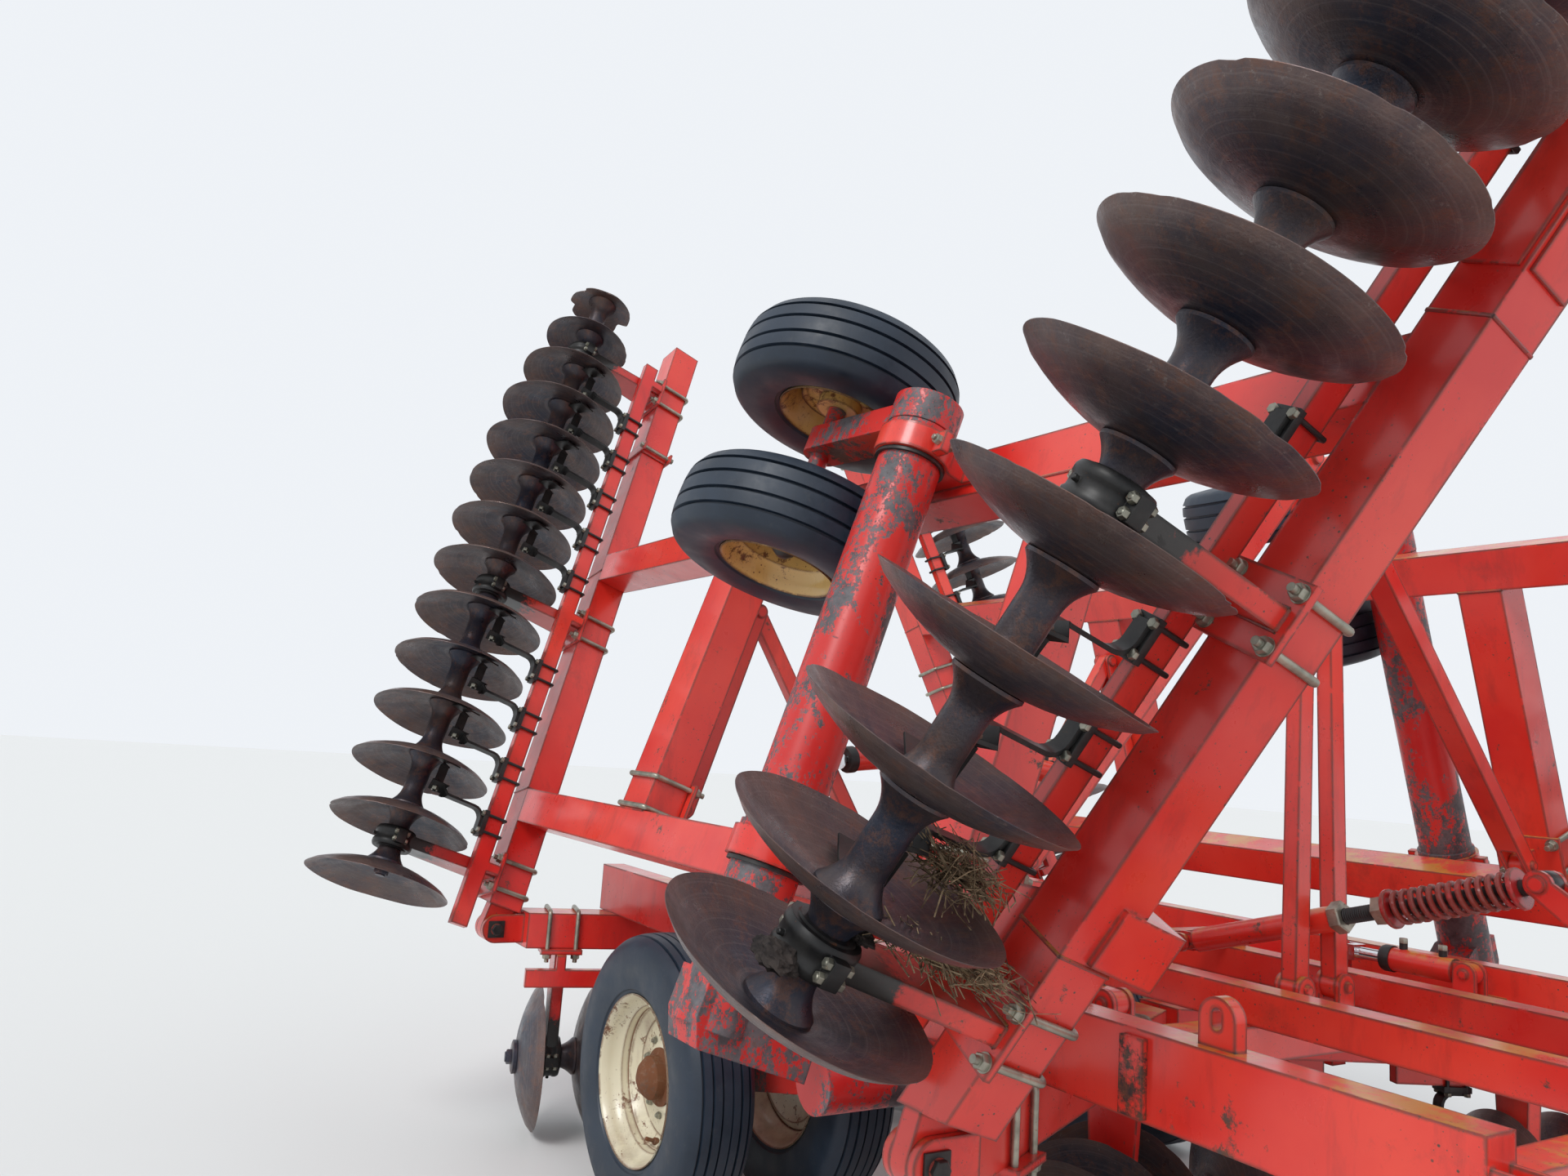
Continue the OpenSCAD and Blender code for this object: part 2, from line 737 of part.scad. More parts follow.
// Hydraulic rams along +x, the barrel's pivot at the origin and the pins along y
module ram_barrel(long, r, rod_r, neck, bore_from) {
    difference() {
        union() {
            along_y(ram_eye, [-ram_eye_t / 2, ram_eye_t / 2]);
            box([0, neck + 1], [-ram_eye_t / 2, ram_eye_t / 2], [-ram_eye, ram_eye]);
            along_x(r, [neck, long]);
        }
        along_y(link_pin_r + bore_gap, [-ram_eye_t, ram_eye_t]);
        along_x(rod_r + bore_gap, [bore_from, long + 1]);
    }
}

// The rod, its eye and the outer end of the eye's pin
module ram_rod(tip, rod_r, from) {
    along_x(rod_r, [from, tip - ram_eye + 8]);
    translate([tip, 0, 0]) along_y(ram_eye, [-ram_eye_t / 2, ram_eye_t / 2]);
    translate([tip, 0, 0]) along_y(link_pin_r, [-ram_eye_t / 2 - 12, 0]);
}

rod_r = 22;
fold_barrel_long = 540;
fold_barrel_r = 50;
fold_neck = 150;
fold_rod_from = 136;
module fold_ram(side, part) {
    at_side(side) from_to(ram_base, ram_tip, ram_y)
        if (part == "barrel") color(RED) ram_barrel(fold_barrel_long, fold_barrel_r, rod_r, fold_neck, fold_rod_from - 6);
        else color("silver") ram_rod(norm(ram_tip - ram_base), rod_r, fold_rod_from);
}

// Lift rams lie along y, from ears on a cross tube to the lever of each centre rockshaft
lift_y = cross_ys[1];
lift_z = centre_rock_z + lever_h;
lift_barrel_long = 300;
lift_barrel_r = 42;
lift_neck = 46;
lift_rod_from = 105;
lift_bore_from = 56;
module at_lift(side) {
    at_side(side) translate([lever_x, lift_y, 0]) rotate([0, 0, 90]) children();
}

module lift_ram(side, part) {
    at_lift(side) translate([0, 0, lift_z])
        if (part == "barrel") color(RED) ram_barrel(lift_barrel_long, lift_barrel_r, rod_r, lift_neck, lift_bore_from);
        else color("silver") lift_rod(rock_y - lift_y);
}

// The lift rod's fork straddles the lever
module lift_rod(tip) {
    r = 28;
    along_x(rod_r, [lift_rod_from, tip - 80]);
    both_sides(lever_t, cheek_t) {
        box([tip - 90, tip], [-cheek_t / 2, cheek_t / 2], [-r, r]);
        translate([tip, 0, 0]) along_y(r, [-cheek_t / 2, cheek_t / 2]);
    }
    box([tip - 95, tip - 65], [-lever_t / 2 - cheek_t, lever_t / 2 + cheek_t], [-r, r]);
    translate([tip, 0, 0]) along_y(link_pin_r, [-lever_t / 2 - cheek_t - 12, lever_t / 2 + cheek_t + 12]);
}

// Two ears on a flat seat with a pin through them, the pin z above the ears' own origin
module ears(gap, r, seat_z, pin_z) {
    both_sides(gap, cheek_t) {
        translate([0, 0, pin_z]) along_y(r, [-cheek_t / 2, cheek_t / 2]);
        box([-r, r], [-cheek_t / 2, cheek_t / 2], [seat_z, pin_z]);
    }
    translate([0, 0, pin_z]) along_y(link_pin_r, [-gap / 2 - cheek_t - 12, gap / 2 + cheek_t + 12]);
}

// Tongue, hung from the main rails' front ends
tongue_pin_y = -rail_front - 70;
tongue_pin_z = beam / 2 + rail_h / 2;
tongue_pin_r = 20;
tongue_lug_t = 50;
tongue_tube = 110;
tongue_tube_y = tongue_pin_y - 60 - tongue_tube;
mast_y = -520;
mast_z = 650;
nose_z = [-60, 35];
jack_y = -tongue_reach + 600;
jack_r = 50;
level_y = 600;
level_z = 310;
module at_tongue_pin(side) {
    at_side(side) translate([rail_x, tongue_pin_y, tongue_pin_z]) rotate([0, 0, 90]) children();
}

module tongue_ears() {
    for (side = [RIGHT, LEFT]) at_tongue_pin(side) {
        both_sides(tongue_lug_t, cheek_t) {
            along_y(45, [-cheek_t / 2, cheek_t / 2]);
            box([0, 71], [-cheek_t / 2, cheek_t / 2], [-45, 45]);
        }
        along_y(tongue_pin_r, [-tongue_lug_t / 2 - cheek_t - 8, tongue_lug_t / 2 + cheek_t + 8]);
    }
}

module tongue_lugs() {
    for (side = [RIGHT, LEFT]) at_tongue_pin(side) difference() {
        union() {
            along_y(42, [-tongue_lug_t / 2, tongue_lug_t / 2]);
            box([-61, 0], [-tongue_lug_t / 2, tongue_lug_t / 2], [-42, 42]);
        }
        along_y(tongue_pin_r + bore_gap, [-tongue_lug_t, tongue_lug_t]);
    }
}

module tongue_side(side) {
    side_of(side) hull() {
        translate([0, y_front + tongue_tube_y, hinge_z + tongue_pin_z])
            box([760, 900], [0, 1], [-60, 50]);
        translate([0, y_front - tongue_reach + 400, hitch_z]) box([20, 110], [0, 1], [-60, 60]);
    }
}

// The mast leans back over the frame to the levelling screw
module level_mast() {
    foot = tongue_pin_z + 50;
    translate([0, y_front, hinge_z]) rotate([0, 0, 90]) {
        both_sides(ram_eye_t, cheek_t) {
            rotate([90, 0, 0]) linear_extrude(cheek_t, center = true) polygon([
                [tongue_tube_y, foot], [mast_y - 32, mast_z + 10], [mast_y + 25, mast_z - 25],
                [tongue_tube_y + tongue_tube + 60, foot]]);
            translate([mast_y, 0, mast_z]) along_y(36, [-cheek_t / 2, cheek_t / 2]);
        }
        for (way = [-1, 1]) translate([mast_y, way * (ram_eye_t / 2 + cheek_t + 6), mast_z])
            along_y(link_pin_r + 6, [-6, 6]);
    }
}

module tongue() {
    reach = half_w + rail_x + tongue_lug_t / 2;
    color(RED) difference() {
        union() {
            for (side = [RIGHT, LEFT]) tongue_side(side);
            translate([0, y_front, hinge_z]) box([-reach, reach],
                [tongue_tube_y, tongue_tube_y + tongue_tube], [tongue_pin_z - 60, tongue_pin_z + 51]);
            tongue_lugs();
            level_mast();
            translate([0, y_front - tongue_reach, hitch_z]) {
                box([-110, 110], [200, 520], [-60, 60]);
                for (z = nose_z) box([-60, 60], [0, 220], [z, z + 25]);
                box([-40, 40], [510, 600], [-50, 50]);
            }
        }
        translate([0, y_front - tongue_reach + 60, hitch_z - 100]) cylinder(r = hitch_r, h = 200);
        translate([0, y_front + jack_y, 0]) cylinder(r = jack_r, h = hinge_z);
    }
}

// Levelling rod: a tube pinned to the frame, and a screw with nuts and a spring, pinned to the mast
module levelling_seat() {
    translate([0, y_front, hinge_z]) {
        box([-tube_x - cross / 2, tube_x + cross / 2], [level_y + 40, level_y + 100],
            [tube_z + cross, tube_z + cross + 60]);
        translate([0, level_y, level_z]) rotate([0, 0, 90]) {
            both_sides(ram_eye_t, cheek_t) {
                along_y(30, [-cheek_t / 2, cheek_t / 2]);
                box([0, 41], [-cheek_t / 2, cheek_t / 2], [-30, 30]);
            }
            along_y(link_pin_r, [-ram_eye_t / 2 - cheek_t - 8, ram_eye_t / 2 + cheek_t + 8]);
        }
    }
}

level_long = norm([level_y - mast_y, mast_z - level_z]);
level_tube_long = 560;
level_tube_r = 38;
level_eye = 24;
level_neck = 46;
level_screw_r = 24;
level_nut_r = 46;
level_nut = 34;
level_bore_from = 200;
spring_r = 50;
spring_disc = 14;
module at_level() {
    translate([0, y_front + level_y, hinge_z + level_z]) rotate([0, 0, -90])
        rotate([0, -atan2(mast_z - level_z, level_y - mast_y), 0]) children();
}

// The tube ends in a lock nut that the screw runs through
module levelling_tube() {
    color(RED) at_level() difference() {
        union() {
            along_y(level_eye, [-ram_eye_t / 2, ram_eye_t / 2]);
            box([0, level_neck + 1], [-ram_eye_t / 2, ram_eye_t / 2], [-level_eye, level_eye]);
            along_x(level_tube_r, [level_neck, level_tube_long]);
            along_x(level_nut_r, [level_tube_long, level_tube_long + level_nut], $fn = 6);
        }
        along_y(link_pin_r + bore_gap, [-ram_eye_t, ram_eye_t]);
        along_x(level_screw_r + bore_gap, [level_bore_from, level_tube_long + level_nut + 1]);
    }
}

module levelling_screw() {
    color(BLACK) at_level() {
        spring = [level_tube_long + 190, level_long - 70];
        along_x(level_screw_r, [level_bore_from + 130, level_long - 26]);
        along_x(level_nut_r, [spring[0] - spring_disc - level_nut, spring[0] - spring_disc], $fn = 6);
        for (x = [spring[0] - spring_disc, spring[1]]) along_x(spring_r + 8, [x, x + spring_disc]);
        along_x(spring_r, spring);
        translate([level_long, 0, 0]) along_y(ram_eye, [-ram_eye_t / 2, ram_eye_t / 2]);
    }
}

jack_sleeve_z = [300, 840];
module jack_sleeve() {
    color(RED) translate([0, y_front + jack_y, 0]) difference() {
        translate([0, 0, jack_sleeve_z[0]])
            cylinder(r = jack_r, h = jack_sleeve_z[1] - jack_sleeve_z[0]);
        translate([0, 0, jack_sleeve_z[0] - 1])
            cylinder(r = jack_r - 10 + bore_gap, h = jack_sleeve_z[1] - jack_sleeve_z[0] - 19);
    }
}

module jack_leg() {
    color(BLACK) translate([0, y_front + jack_y, 0]) {
        cylinder(r = jack_r - 10, h = 560);
        cylinder(r = 110, h = 12);
    }
}

main_rails();
cross_tubes();
centre_tubes();
centre_beams(FRONT);  // front_centre_beams
centre_beams(REAR);  // rear_centre_beams
centre_standards();
centre_scraper_bars();
rockshaft_bearings();
tongue();
levelling_tube();
levelling_screw();
jack_sleeve();
jack_leg();
wing_beams(RIGHT);  // right_wing_beams
wing_rails(RIGHT);  // right_wing_rails
wing_cross_tubes(RIGHT);  // right_wing_cross_tubes
wing_standards(RIGHT);  // right_wing_standards
wing_scraper_bars(RIGHT);  // right_wing_scraper_bars
wing_beams(LEFT);  // left_wing_beams
wing_rails(LEFT);  // left_wing_rails
wing_cross_tubes(LEFT);  // left_wing_cross_tubes
wing_standards(LEFT);  // left_wing_standards
wing_scraper_bars(LEFT);  // left_wing_scraper_bars
wing_gang(RIGHT, FRONT);  // right_front_gang
wing_gang(RIGHT, REAR);  // right_rear_gang
wing_gang(LEFT, FRONT);  // left_front_gang
wing_gang(LEFT, REAR);  // left_rear_gang
centre_gang(RIGHT, FRONT);  // centre_right_front_gang
centre_gang(RIGHT, REAR);  // centre_right_rear_gang
centre_gang(LEFT, FRONT);  // centre_left_front_gang
centre_gang(LEFT, REAR);  // centre_left_rear_gang
wing_rockshaft(RIGHT);  // right_rockshaft
wing_rockshaft(LEFT);  // left_rockshaft
centre_rockshaft(RIGHT);  // centre_right_rockshaft
centre_rockshaft(LEFT);  // centre_left_rockshaft
color(BLACK) wing_wheels(RIGHT, "tyre");  // right_tyres
color(YELLOW) wing_wheels(RIGHT, "rim");  // right_rims
color(BLACK) wing_wheels(LEFT, "tyre");  // left_tyres
color(YELLOW) wing_wheels(LEFT, "rim");  // left_rims
color(BLACK) centre_wheels(RIGHT, "tyre");  // centre_right_tyres
color(CREAM) centre_wheels(RIGHT, "rim");  // centre_right_rims
color(BLACK) centre_wheels(LEFT, "tyre");  // centre_left_tyres
color(CREAM) centre_wheels(LEFT, "rim");  // centre_left_rims
fold_arm(RIGHT, FRONT);  // right_front_arm
fold_link(RIGHT, FRONT);  // right_front_link
fold_arm(RIGHT, REAR);  // right_rear_arm
fold_link(RIGHT, REAR);  // right_rear_link
fold_arm(LEFT, FRONT);  // left_front_arm
fold_link(LEFT, FRONT);  // left_front_link
fold_arm(LEFT, REAR);  // left_rear_arm
fold_link(LEFT, REAR);  // left_rear_link
fold_ram(RIGHT, "barrel");  // right_fold_barrel
fold_ram(RIGHT, "rod");  // right_fold_rod
fold_ram(LEFT, "barrel");  // left_fold_barrel
fold_ram(LEFT, "rod");  // left_fold_rod
lift_ram(RIGHT, "barrel");  // right_lift_barrel
lift_ram(RIGHT, "rod");  // right_lift_rod
lift_ram(LEFT, "barrel");  // left_lift_barrel
lift_ram(LEFT, "rod");  // left_lift_rod
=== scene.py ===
"""Disc harrow, folded for the road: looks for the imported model, in metres, +Z up, the hitch towards -Y."""
import json
import math
import random

import bmesh
import bpy
from mathutils import Matrix, Vector, noise


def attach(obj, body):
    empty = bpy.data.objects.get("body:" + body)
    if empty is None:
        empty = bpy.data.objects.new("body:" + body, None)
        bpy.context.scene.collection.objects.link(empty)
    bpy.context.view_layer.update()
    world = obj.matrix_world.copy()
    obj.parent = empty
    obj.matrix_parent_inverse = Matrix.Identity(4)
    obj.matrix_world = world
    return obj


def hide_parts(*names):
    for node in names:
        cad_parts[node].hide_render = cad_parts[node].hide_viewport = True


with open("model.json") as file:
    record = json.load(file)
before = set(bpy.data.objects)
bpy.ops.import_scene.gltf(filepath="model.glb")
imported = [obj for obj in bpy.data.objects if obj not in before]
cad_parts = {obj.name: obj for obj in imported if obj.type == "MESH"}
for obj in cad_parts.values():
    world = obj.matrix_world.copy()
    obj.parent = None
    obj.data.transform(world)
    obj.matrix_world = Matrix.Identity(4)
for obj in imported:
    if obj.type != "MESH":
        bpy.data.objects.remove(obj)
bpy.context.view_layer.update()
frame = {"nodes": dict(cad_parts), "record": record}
scene = bpy.context.scene
joints = {j["name"]: j for j in frame["record"]["behaviour"]["joints"]}

# Sizes shared with the part's source, in metres
FOLD = math.radians(109)
ROW_GAP = 3.010
SWEEP = {"front": math.radians(-25), "rear": math.radians(14)}
ROW_Y = {"front": 0.0, "rear": ROW_GAP}
DISH_WAY = {"front": 1, "rear": -1}
BEAM = 0.152
BEAM_REACH = 3.370
BLADE_R = 0.305
DISH = 0.085
BLADE_T = 0.007
PITCH = 0.254
GANG_DROP = 0.550
SPOOL_R = 0.045
SPOOL_FLARE = 0.078
PLATE_T = 0.020
PLATE_SIDE = 0.035
BAR_OFF = BEAM / 2 + PLATE_SIDE
BAR_DROP = {"front": 0.015, "rear": 0.060}
BAR_H = 0.075
BAR_W = 0.040
HOUSING_R = 0.078
HOUSING_W = 0.080
ROCK_Y = 0.620
WING_ROCK_R = 0.098
WING_ROCK_DROP = 0.240
CROSS_TUBES = {"front": (0.130, BEAM, 0.721), "rear": (1.930, 0.200, 0.689)}
WING_TYRE = {"d": 0.782, "w": 0.270, "rim": 0.381, "axle": 0.0325, "hub": 0.075}
CENTRE_TYRE = {"d": 1.020, "w": 0.270, "rim": 0.572, "axle": 0.0385, "hub": 0.110}
WING_WHEELS = [(1.550, -1), (2.130, 1)]
CENTRE_WHEELS = [(-0.320, 1), (-0.920, -1)]
WING_AXLE = (1.117, -0.280)
CENTRE_AXLE_Y = 1.890
HOUSING_OFF = 0.015
SMALL_ENDS = [0.57, 0.75, 0.9]
WING_GANGS = {"front": (0.309, 13), "rear": (0.010, 14)}
CENTRE_FIRST = {"front": -0.200, "rear": -0.244}
CENTRE_COUNT = 6
WING_BEARINGS = {"front": (0, 4, 9), "rear": (0, 5, 11)}
CENTRE_BEARINGS = (0, 4)
SIDES = {"right": -1, "left": 1}

fold_pos = joints["left_wing_fold"]["pos_m"]
HALF_W, Y_FRONT, HINGE_Z = fold_pos


def side_frame(side):
    mirror = Matrix.Scale(side, 4, (1, 0, 0))
    return Matrix.Translation((side * HALF_W, Y_FRONT, HINGE_Z)) @ mirror


def wing_frame(side):
    return side_frame(side) @ Matrix.Rotation(-FOLD, 4, "Y")


def row_frame(row):
    return Matrix.Translation((0, ROW_Y[row], 0)) @ Matrix.Rotation(SWEEP[row], 4, "Z")


def gang_first(row, wing):
    """Place along the row of a gang's innermost blade hub."""
    if wing:
        rim = WING_GANGS[row][0]
    else:
        rim = CENTRE_FIRST[row] - (CENTRE_COUNT - 1) * PITCH
    return rim - DISH_WAY[row] * DISH


def standard_places(row, wing):
    spaces = WING_BEARINGS[row] if wing else CENTRE_BEARINGS
    offset = PITCH / 2 + DISH_WAY[row] * HOUSING_OFF
    return [gang_first(row, wing) + space * PITCH + offset for space in spaces]


BAR_SPANS = {("front", True): [(0.130, BEAM_REACH - 0.070)], ("rear", True): [(-0.060, BEAM_REACH - 0.270)],
             ("front", False): [(-HALF_W + 0.120, -1.080), (-0.800, -0.150)],
             ("rear", False): [(-HALF_W + 0.120, -0.150)]}


def bar_covers(row, wing, s):
    """Whether a scraper bar runs under this place along the row."""
    return any(low + 0.03 < s < high - 0.03 for low, high in BAR_SPANS[row, wing])


def share(row, wing, i):
    if row == "rear" and wing:
        from_end = WING_GANGS[row][1] - 1 - i
        if from_end < len(SMALL_ENDS):
            return SMALL_ENDS[from_end]
    return 1.0


# Camera, placed by a fit of the rims of both near gangs to the photograph
CAMERA_AT = Vector((-3.307, -2.230, 1.734))
YAW, PITCH_UP, ROLL = (math.radians(a) for a in (31.34, 8.08, 3.92))
FOCAL_PX = 1388.5
FRAME_PX = 1920


def make_camera():
    data = bpy.data.cameras.new("camera")
    data.sensor_width = 36.0
    data.lens = FOCAL_PX * data.sensor_width / FRAME_PX
    data.clip_end = 200
    flat = math.cos(PITCH_UP)
    ahead = Vector((math.sin(YAW) * flat, math.cos(YAW) * flat, math.sin(PITCH_UP)))
    level = Vector((math.cos(YAW), -math.sin(YAW), 0))
    upright = level.cross(ahead)
    right = level * math.cos(ROLL) + upright * math.sin(ROLL)
    up = upright * math.cos(ROLL) - level * math.sin(ROLL)
    place = Matrix((right, up, -ahead)).transposed().to_4x4()
    place.translation = CAMERA_AT
    camera = bpy.data.objects.new("camera", data)
    camera.matrix_world = place
    scene.collection.objects.link(camera)
    scene.camera = camera


make_camera()


# Materials
def new_material(name):
    material = bpy.data.materials.new(name)
    material.use_nodes = True
    nodes = material.node_tree.nodes
    nodes.clear()
    output = nodes.new("ShaderNodeOutputMaterial")
    shader = nodes.new("ShaderNodeBsdfPrincipled")
    material.node_tree.links.new(shader.outputs[0], output.inputs[0])
    return material, shader


class Graph:
    """Short calls for building one material's nodes."""

    def __init__(self, name):
        self.material, self.shader = new_material(name)
        self.tree = self.material.node_tree
        self.coords = self.node("ShaderNodeTexCoord").outputs["Object"]

    def node(self, kind, **values):
        made = self.tree.nodes.new(kind)
        for key, value in values.items():
            setattr(made, key, value)
        return made

    def link(self, a, b):
        if isinstance(a, bpy.types.NodeSocket):
            self.tree.links.new(a, b)
        else:
            b.default_value = a

    def stretch(self, scale, coords=None):
        mapping = self.node("ShaderNodeMapping")
        self.link(coords or self.coords, mapping.inputs["Vector"])
        mapping.inputs["Scale"].default_value = scale
        return mapping.outputs[0]

    def noise(self, scale, detail=6, rough=0.6, coords=None):
        made = self.node("ShaderNodeTexNoise")
        self.link(coords or self.coords, made.inputs["Vector"])
        made.inputs["Scale"].default_value = scale
        made.inputs["Detail"].default_value = detail
        made.inputs["Roughness"].default_value = rough
        return made.outputs["Fac"]

    def ramp(self, value, low, high, a=0.0, b=1.0):
        """Value taken from low..high to a..b, held at the ends."""
        made = self.node("ShaderNodeMapRange")
        for key, number in zip(("From Min", "From Max", "To Min", "To Max"), (low, high, a, b)):
            made.inputs[key].default_value = number
        self.link(value, made.inputs["Value"])
        return made.outputs["Result"]

    def math(self, operation, a, b=0.0):
        made = self.node("ShaderNodeMath", operation=operation)
        self.link(a, made.inputs[0])
        self.link(b, made.inputs[1])
        return made.outputs[0]

    def mix(self, factor, a, b):
        made = self.node("ShaderNodeMix", data_type="RGBA")
        self.link(factor, made.inputs["Factor"])
        self.link(a, made.inputs["A"])
        self.link(b, made.inputs["B"])
        return made.outputs["Result"]

    def up_facing(self):
        normal = self.node("ShaderNodeNewGeometry").outputs["Normal"]
        parts = self.node("ShaderNodeSeparateXYZ")
        self.link(normal, parts.inputs[0])
        return parts.outputs["Z"]

    def rounded(self, radius):
        made = self.node("ShaderNodeBevel", samples=4)
        made.inputs["Radius"].default_value = radius
        return made.outputs[0]

    def edges(self, rounded):
        """1 along the edges that a rounded normal softens, 0 on the flats."""
        true_normal = self.node("ShaderNodeNewGeometry").outputs["Normal"]
        dot = self.node("ShaderNodeVectorMath", operation="DOT_PRODUCT")
        self.link(true_normal, dot.inputs[0])
        self.link(rounded, dot.inputs[1])
        return self.ramp(dot.outputs["Value"], 0.9995, 0.95)

    def bump(self, height, strength, distance, normal=None):
        made = self.node("ShaderNodeBump")
        made.inputs["Strength"].default_value = strength
        made.inputs["Distance"].default_value = distance
        self.link(height, made.inputs["Height"])
        if normal is not None:
            self.link(normal, made.inputs["Normal"])
        return made.outputs[0]

    def finish(self, colour, rough, metal=0.0, normal=None):
        self.link(colour, self.shader.inputs["Base Color"])
        self.link(rough, self.shader.inputs["Roughness"])
        self.link(metal, self.shader.inputs["Metallic"])
        if normal is not None:
            self.link(normal, self.shader.inputs["Normal"])
        return self.material


def rgb(r, g, b):
    return (r, g, b, 1.0)


PAINT_RED = rgb(0.64, 0.016, 0.012)
FADED_RED = rgb(0.80, 0.058, 0.032)
UNDER_RED = rgb(0.060, 0.052, 0.050)
UNDER_PLATE = rgb(0.020, 0.018, 0.018)
STREAK = rgb(0.16, 0.012, 0.014)
SMEAR = rgb(0.13, 0.030, 0.025)
CHIP_RUST = rgb(0.12, 0.045, 0.02)
TOP_DIRT = rgb(0.23, 0.17, 0.12)
LICHEN = rgb(0.52, 0.26, 0.034)
GREASE = (rgb(0.010, 0.010, 0.010), rgb(0.040, 0.034, 0.030))
GREASE_REACH = 0.20
COAT = 0.45
COAT_ROUGH = 0.16
PIPE_RED = (rgb(0.52, 0.016, 0.016), rgb(0.64, 0.042, 0.034))
PIPE_GREY = (rgb(0.060, 0.055, 0.060), rgb(0.150, 0.140, 0.150))
PIPE_RUST = rgb(0.13, 0.050, 0.035)
PIPE_SPECK = rgb(0.06, 0.03, 0.028)
BLADE_SCALE = (rgb(0.026, 0.033, 0.056), rgb(0.098, 0.068, 0.060))
BLADE_RIM = rgb(0.185, 0.115, 0.095)
BLADE_RUST = rgb(0.170, 0.078, 0.052)
BLADE_SCUFF = rgb(0.27, 0.23, 0.21)
BLADE_SCORE = rgb(0.24, 0.20, 0.19)
BLADE_DUST = rgb(0.125, 0.105, 0.090)
TYRE_BLACK = (rgb(0.007, 0.015, 0.028), rgb(0.020, 0.033, 0.054))
TYRE_DUST = rgb(0.105, 0.100, 0.090)
STEEL_RUST = rgb(0.19, 0.07, 0.03)
CHROME_TINT = (rgb(0.72, 0.72, 0.74), rgb(0.45, 0.40, 0.36))
SOIL = (rgb(0.018, 0.014, 0.014), rgb(0.075, 0.058, 0.050))
STRAW_TINT = (rgb(0.10, 0.060, 0.035), rgb(0.40, 0.29, 0.17))


def grease_near(g, axes, far):
    """1 close to the nearest of the axes, each a (point, direction), and 0 past the far distance."""
    nearest = None
    for point, way in axes:
        from_point = g.node("ShaderNodeVectorMath", operation="SUBTRACT")
        g.link(g.coords, from_point.inputs[0])
        from_point.inputs[1].default_value = point
        cross = g.node("ShaderNodeVectorMath", operation="CROSS_PRODUCT")
        g.link(from_point.outputs[0], cross.inputs[0])
        cross.inputs[1].default_value = way
        length = g.node("ShaderNodeVectorMath", operation="LENGTH")
        g.link(cross.outputs[0], length.inputs[0])
        gap = length.outputs["Value"]
        nearest = gap if nearest is None else g.math("MINIMUM", nearest, gap)
    ragged = g.math("ADD", nearest, g.ramp(g.noise(11, 6, 0.7), 0.3, 0.7, -0.07, 0.07))
    return g.ramp(ragged, far, far - 0.035)


def specks(g, scale, size):
    """Scattered round dots, 1 inside."""
    made = g.node("ShaderNodeTexVoronoi")
    g.link(g.coords, made.inputs["Vector"])
    made.inputs["Scale"].default_value = scale
    dots = g.ramp(made.outputs["Distance"], size, size * 0.6)
    return g.math("MULTIPLY", dots, g.ramp(g.noise(3.1, 3, 0.5), 0.48, 0.56))


def painted(name, paint, faded, under, chips=0.62, dirt=0.35, greasy=(), lichen=0.0):
    """Old enamel: fading in clouds, worn through along edges and in chips, dirt lying on top faces."""
    g = Graph(name)
    rounded = g.rounded(0.013)
    edge = g.edges(rounded)
    clouds = g.noise(1.7, 5, 0.55)
    colour = g.mix(g.ramp(clouds, 0.35, 0.7), paint, faded)
    streaks = g.noise(9, 7, 0.7, g.stretch((1.0, 1.0, 0.22)))
    colour = g.mix(g.ramp(streaks, 0.54, 0.74, 0.0, 0.40), colour, STREAK)
    smears = g.noise(2.6, 9, 0.78)
    colour = g.mix(g.ramp(smears, 0.58, 0.70, 0.0, 0.35), colour, SMEAR)
    chip_noise = g.noise(26, 9, 0.75)
    patches = g.noise(4.5, 8, 0.8)
    rubbed = g.math("MULTIPLY", g.noise(6.5, 4, 0.6), g.ramp(edge, 0, 1, 0.75, 1.35))
    rubbed = g.ramp(g.math("ADD", rubbed, g.math("MULTIPLY", chip_noise, 0.5)), 0.73, 0.77)
    worn = g.math("MULTIPLY", g.ramp(edge, 0.05, 0.4), rubbed)
    spots = g.math("MULTIPLY", g.ramp(patches, chips, chips + 0.03), g.ramp(chip_noise, 0.40, 0.52))
    worn = g.math("MAXIMUM", worn, spots)
    worn = g.math("MAXIMUM", worn, specks(g, 38, 0.13))
    worn = g.math("MAXIMUM", worn, specks(g, 90, 0.13))
    bare = g.mix(g.ramp(g.noise(60, 5, 0.7), 0.4, 0.6), under, CHIP_RUST)
    colour = g.mix(worn, colour, bare)
    up = g.ramp(g.up_facing(), 0.35, 0.95)
    top = g.math("MULTIPLY", up, g.ramp(g.noise(12, 6, 0.7), 0.35, 0.65))
    colour = g.mix(g.math("MULTIPLY", top, dirt), colour, TOP_DIRT)
    if lichen:
        growth = g.ramp(g.noise(3.4, 10, 0.85), 0.49, 0.55)
        growth = g.math("MULTIPLY", g.math("MULTIPLY", growth, up), lichen)
        colour = g.mix(growth, colour, LICHEN)
    rough = g.ramp(g.noise(7, 6, 0.6), 0.3, 0.7, 0.24, 0.44)
    rough = g.math("MAXIMUM", rough, g.math("MULTIPLY", worn, 0.7))
    if greasy:
        grease = grease_near(g, greasy, GREASE_REACH)
        thick = g.mix(g.noise(24, 7, 0.7), *GREASE)
        colour = g.mix(grease, colour, thick)
    relief = g.math("SUBTRACT", g.math("MULTIPLY", g.noise(40, 4, 0.6), 0.25), worn)
    g.shader.inputs["Coat Weight"].default_value = COAT
    g.shader.inputs["Coat Roughness"].default_value = COAT_ROUGH
    return g.finish(colour, rough, 0.0, g.bump(relief, 0.25, 0.0012, rounded))


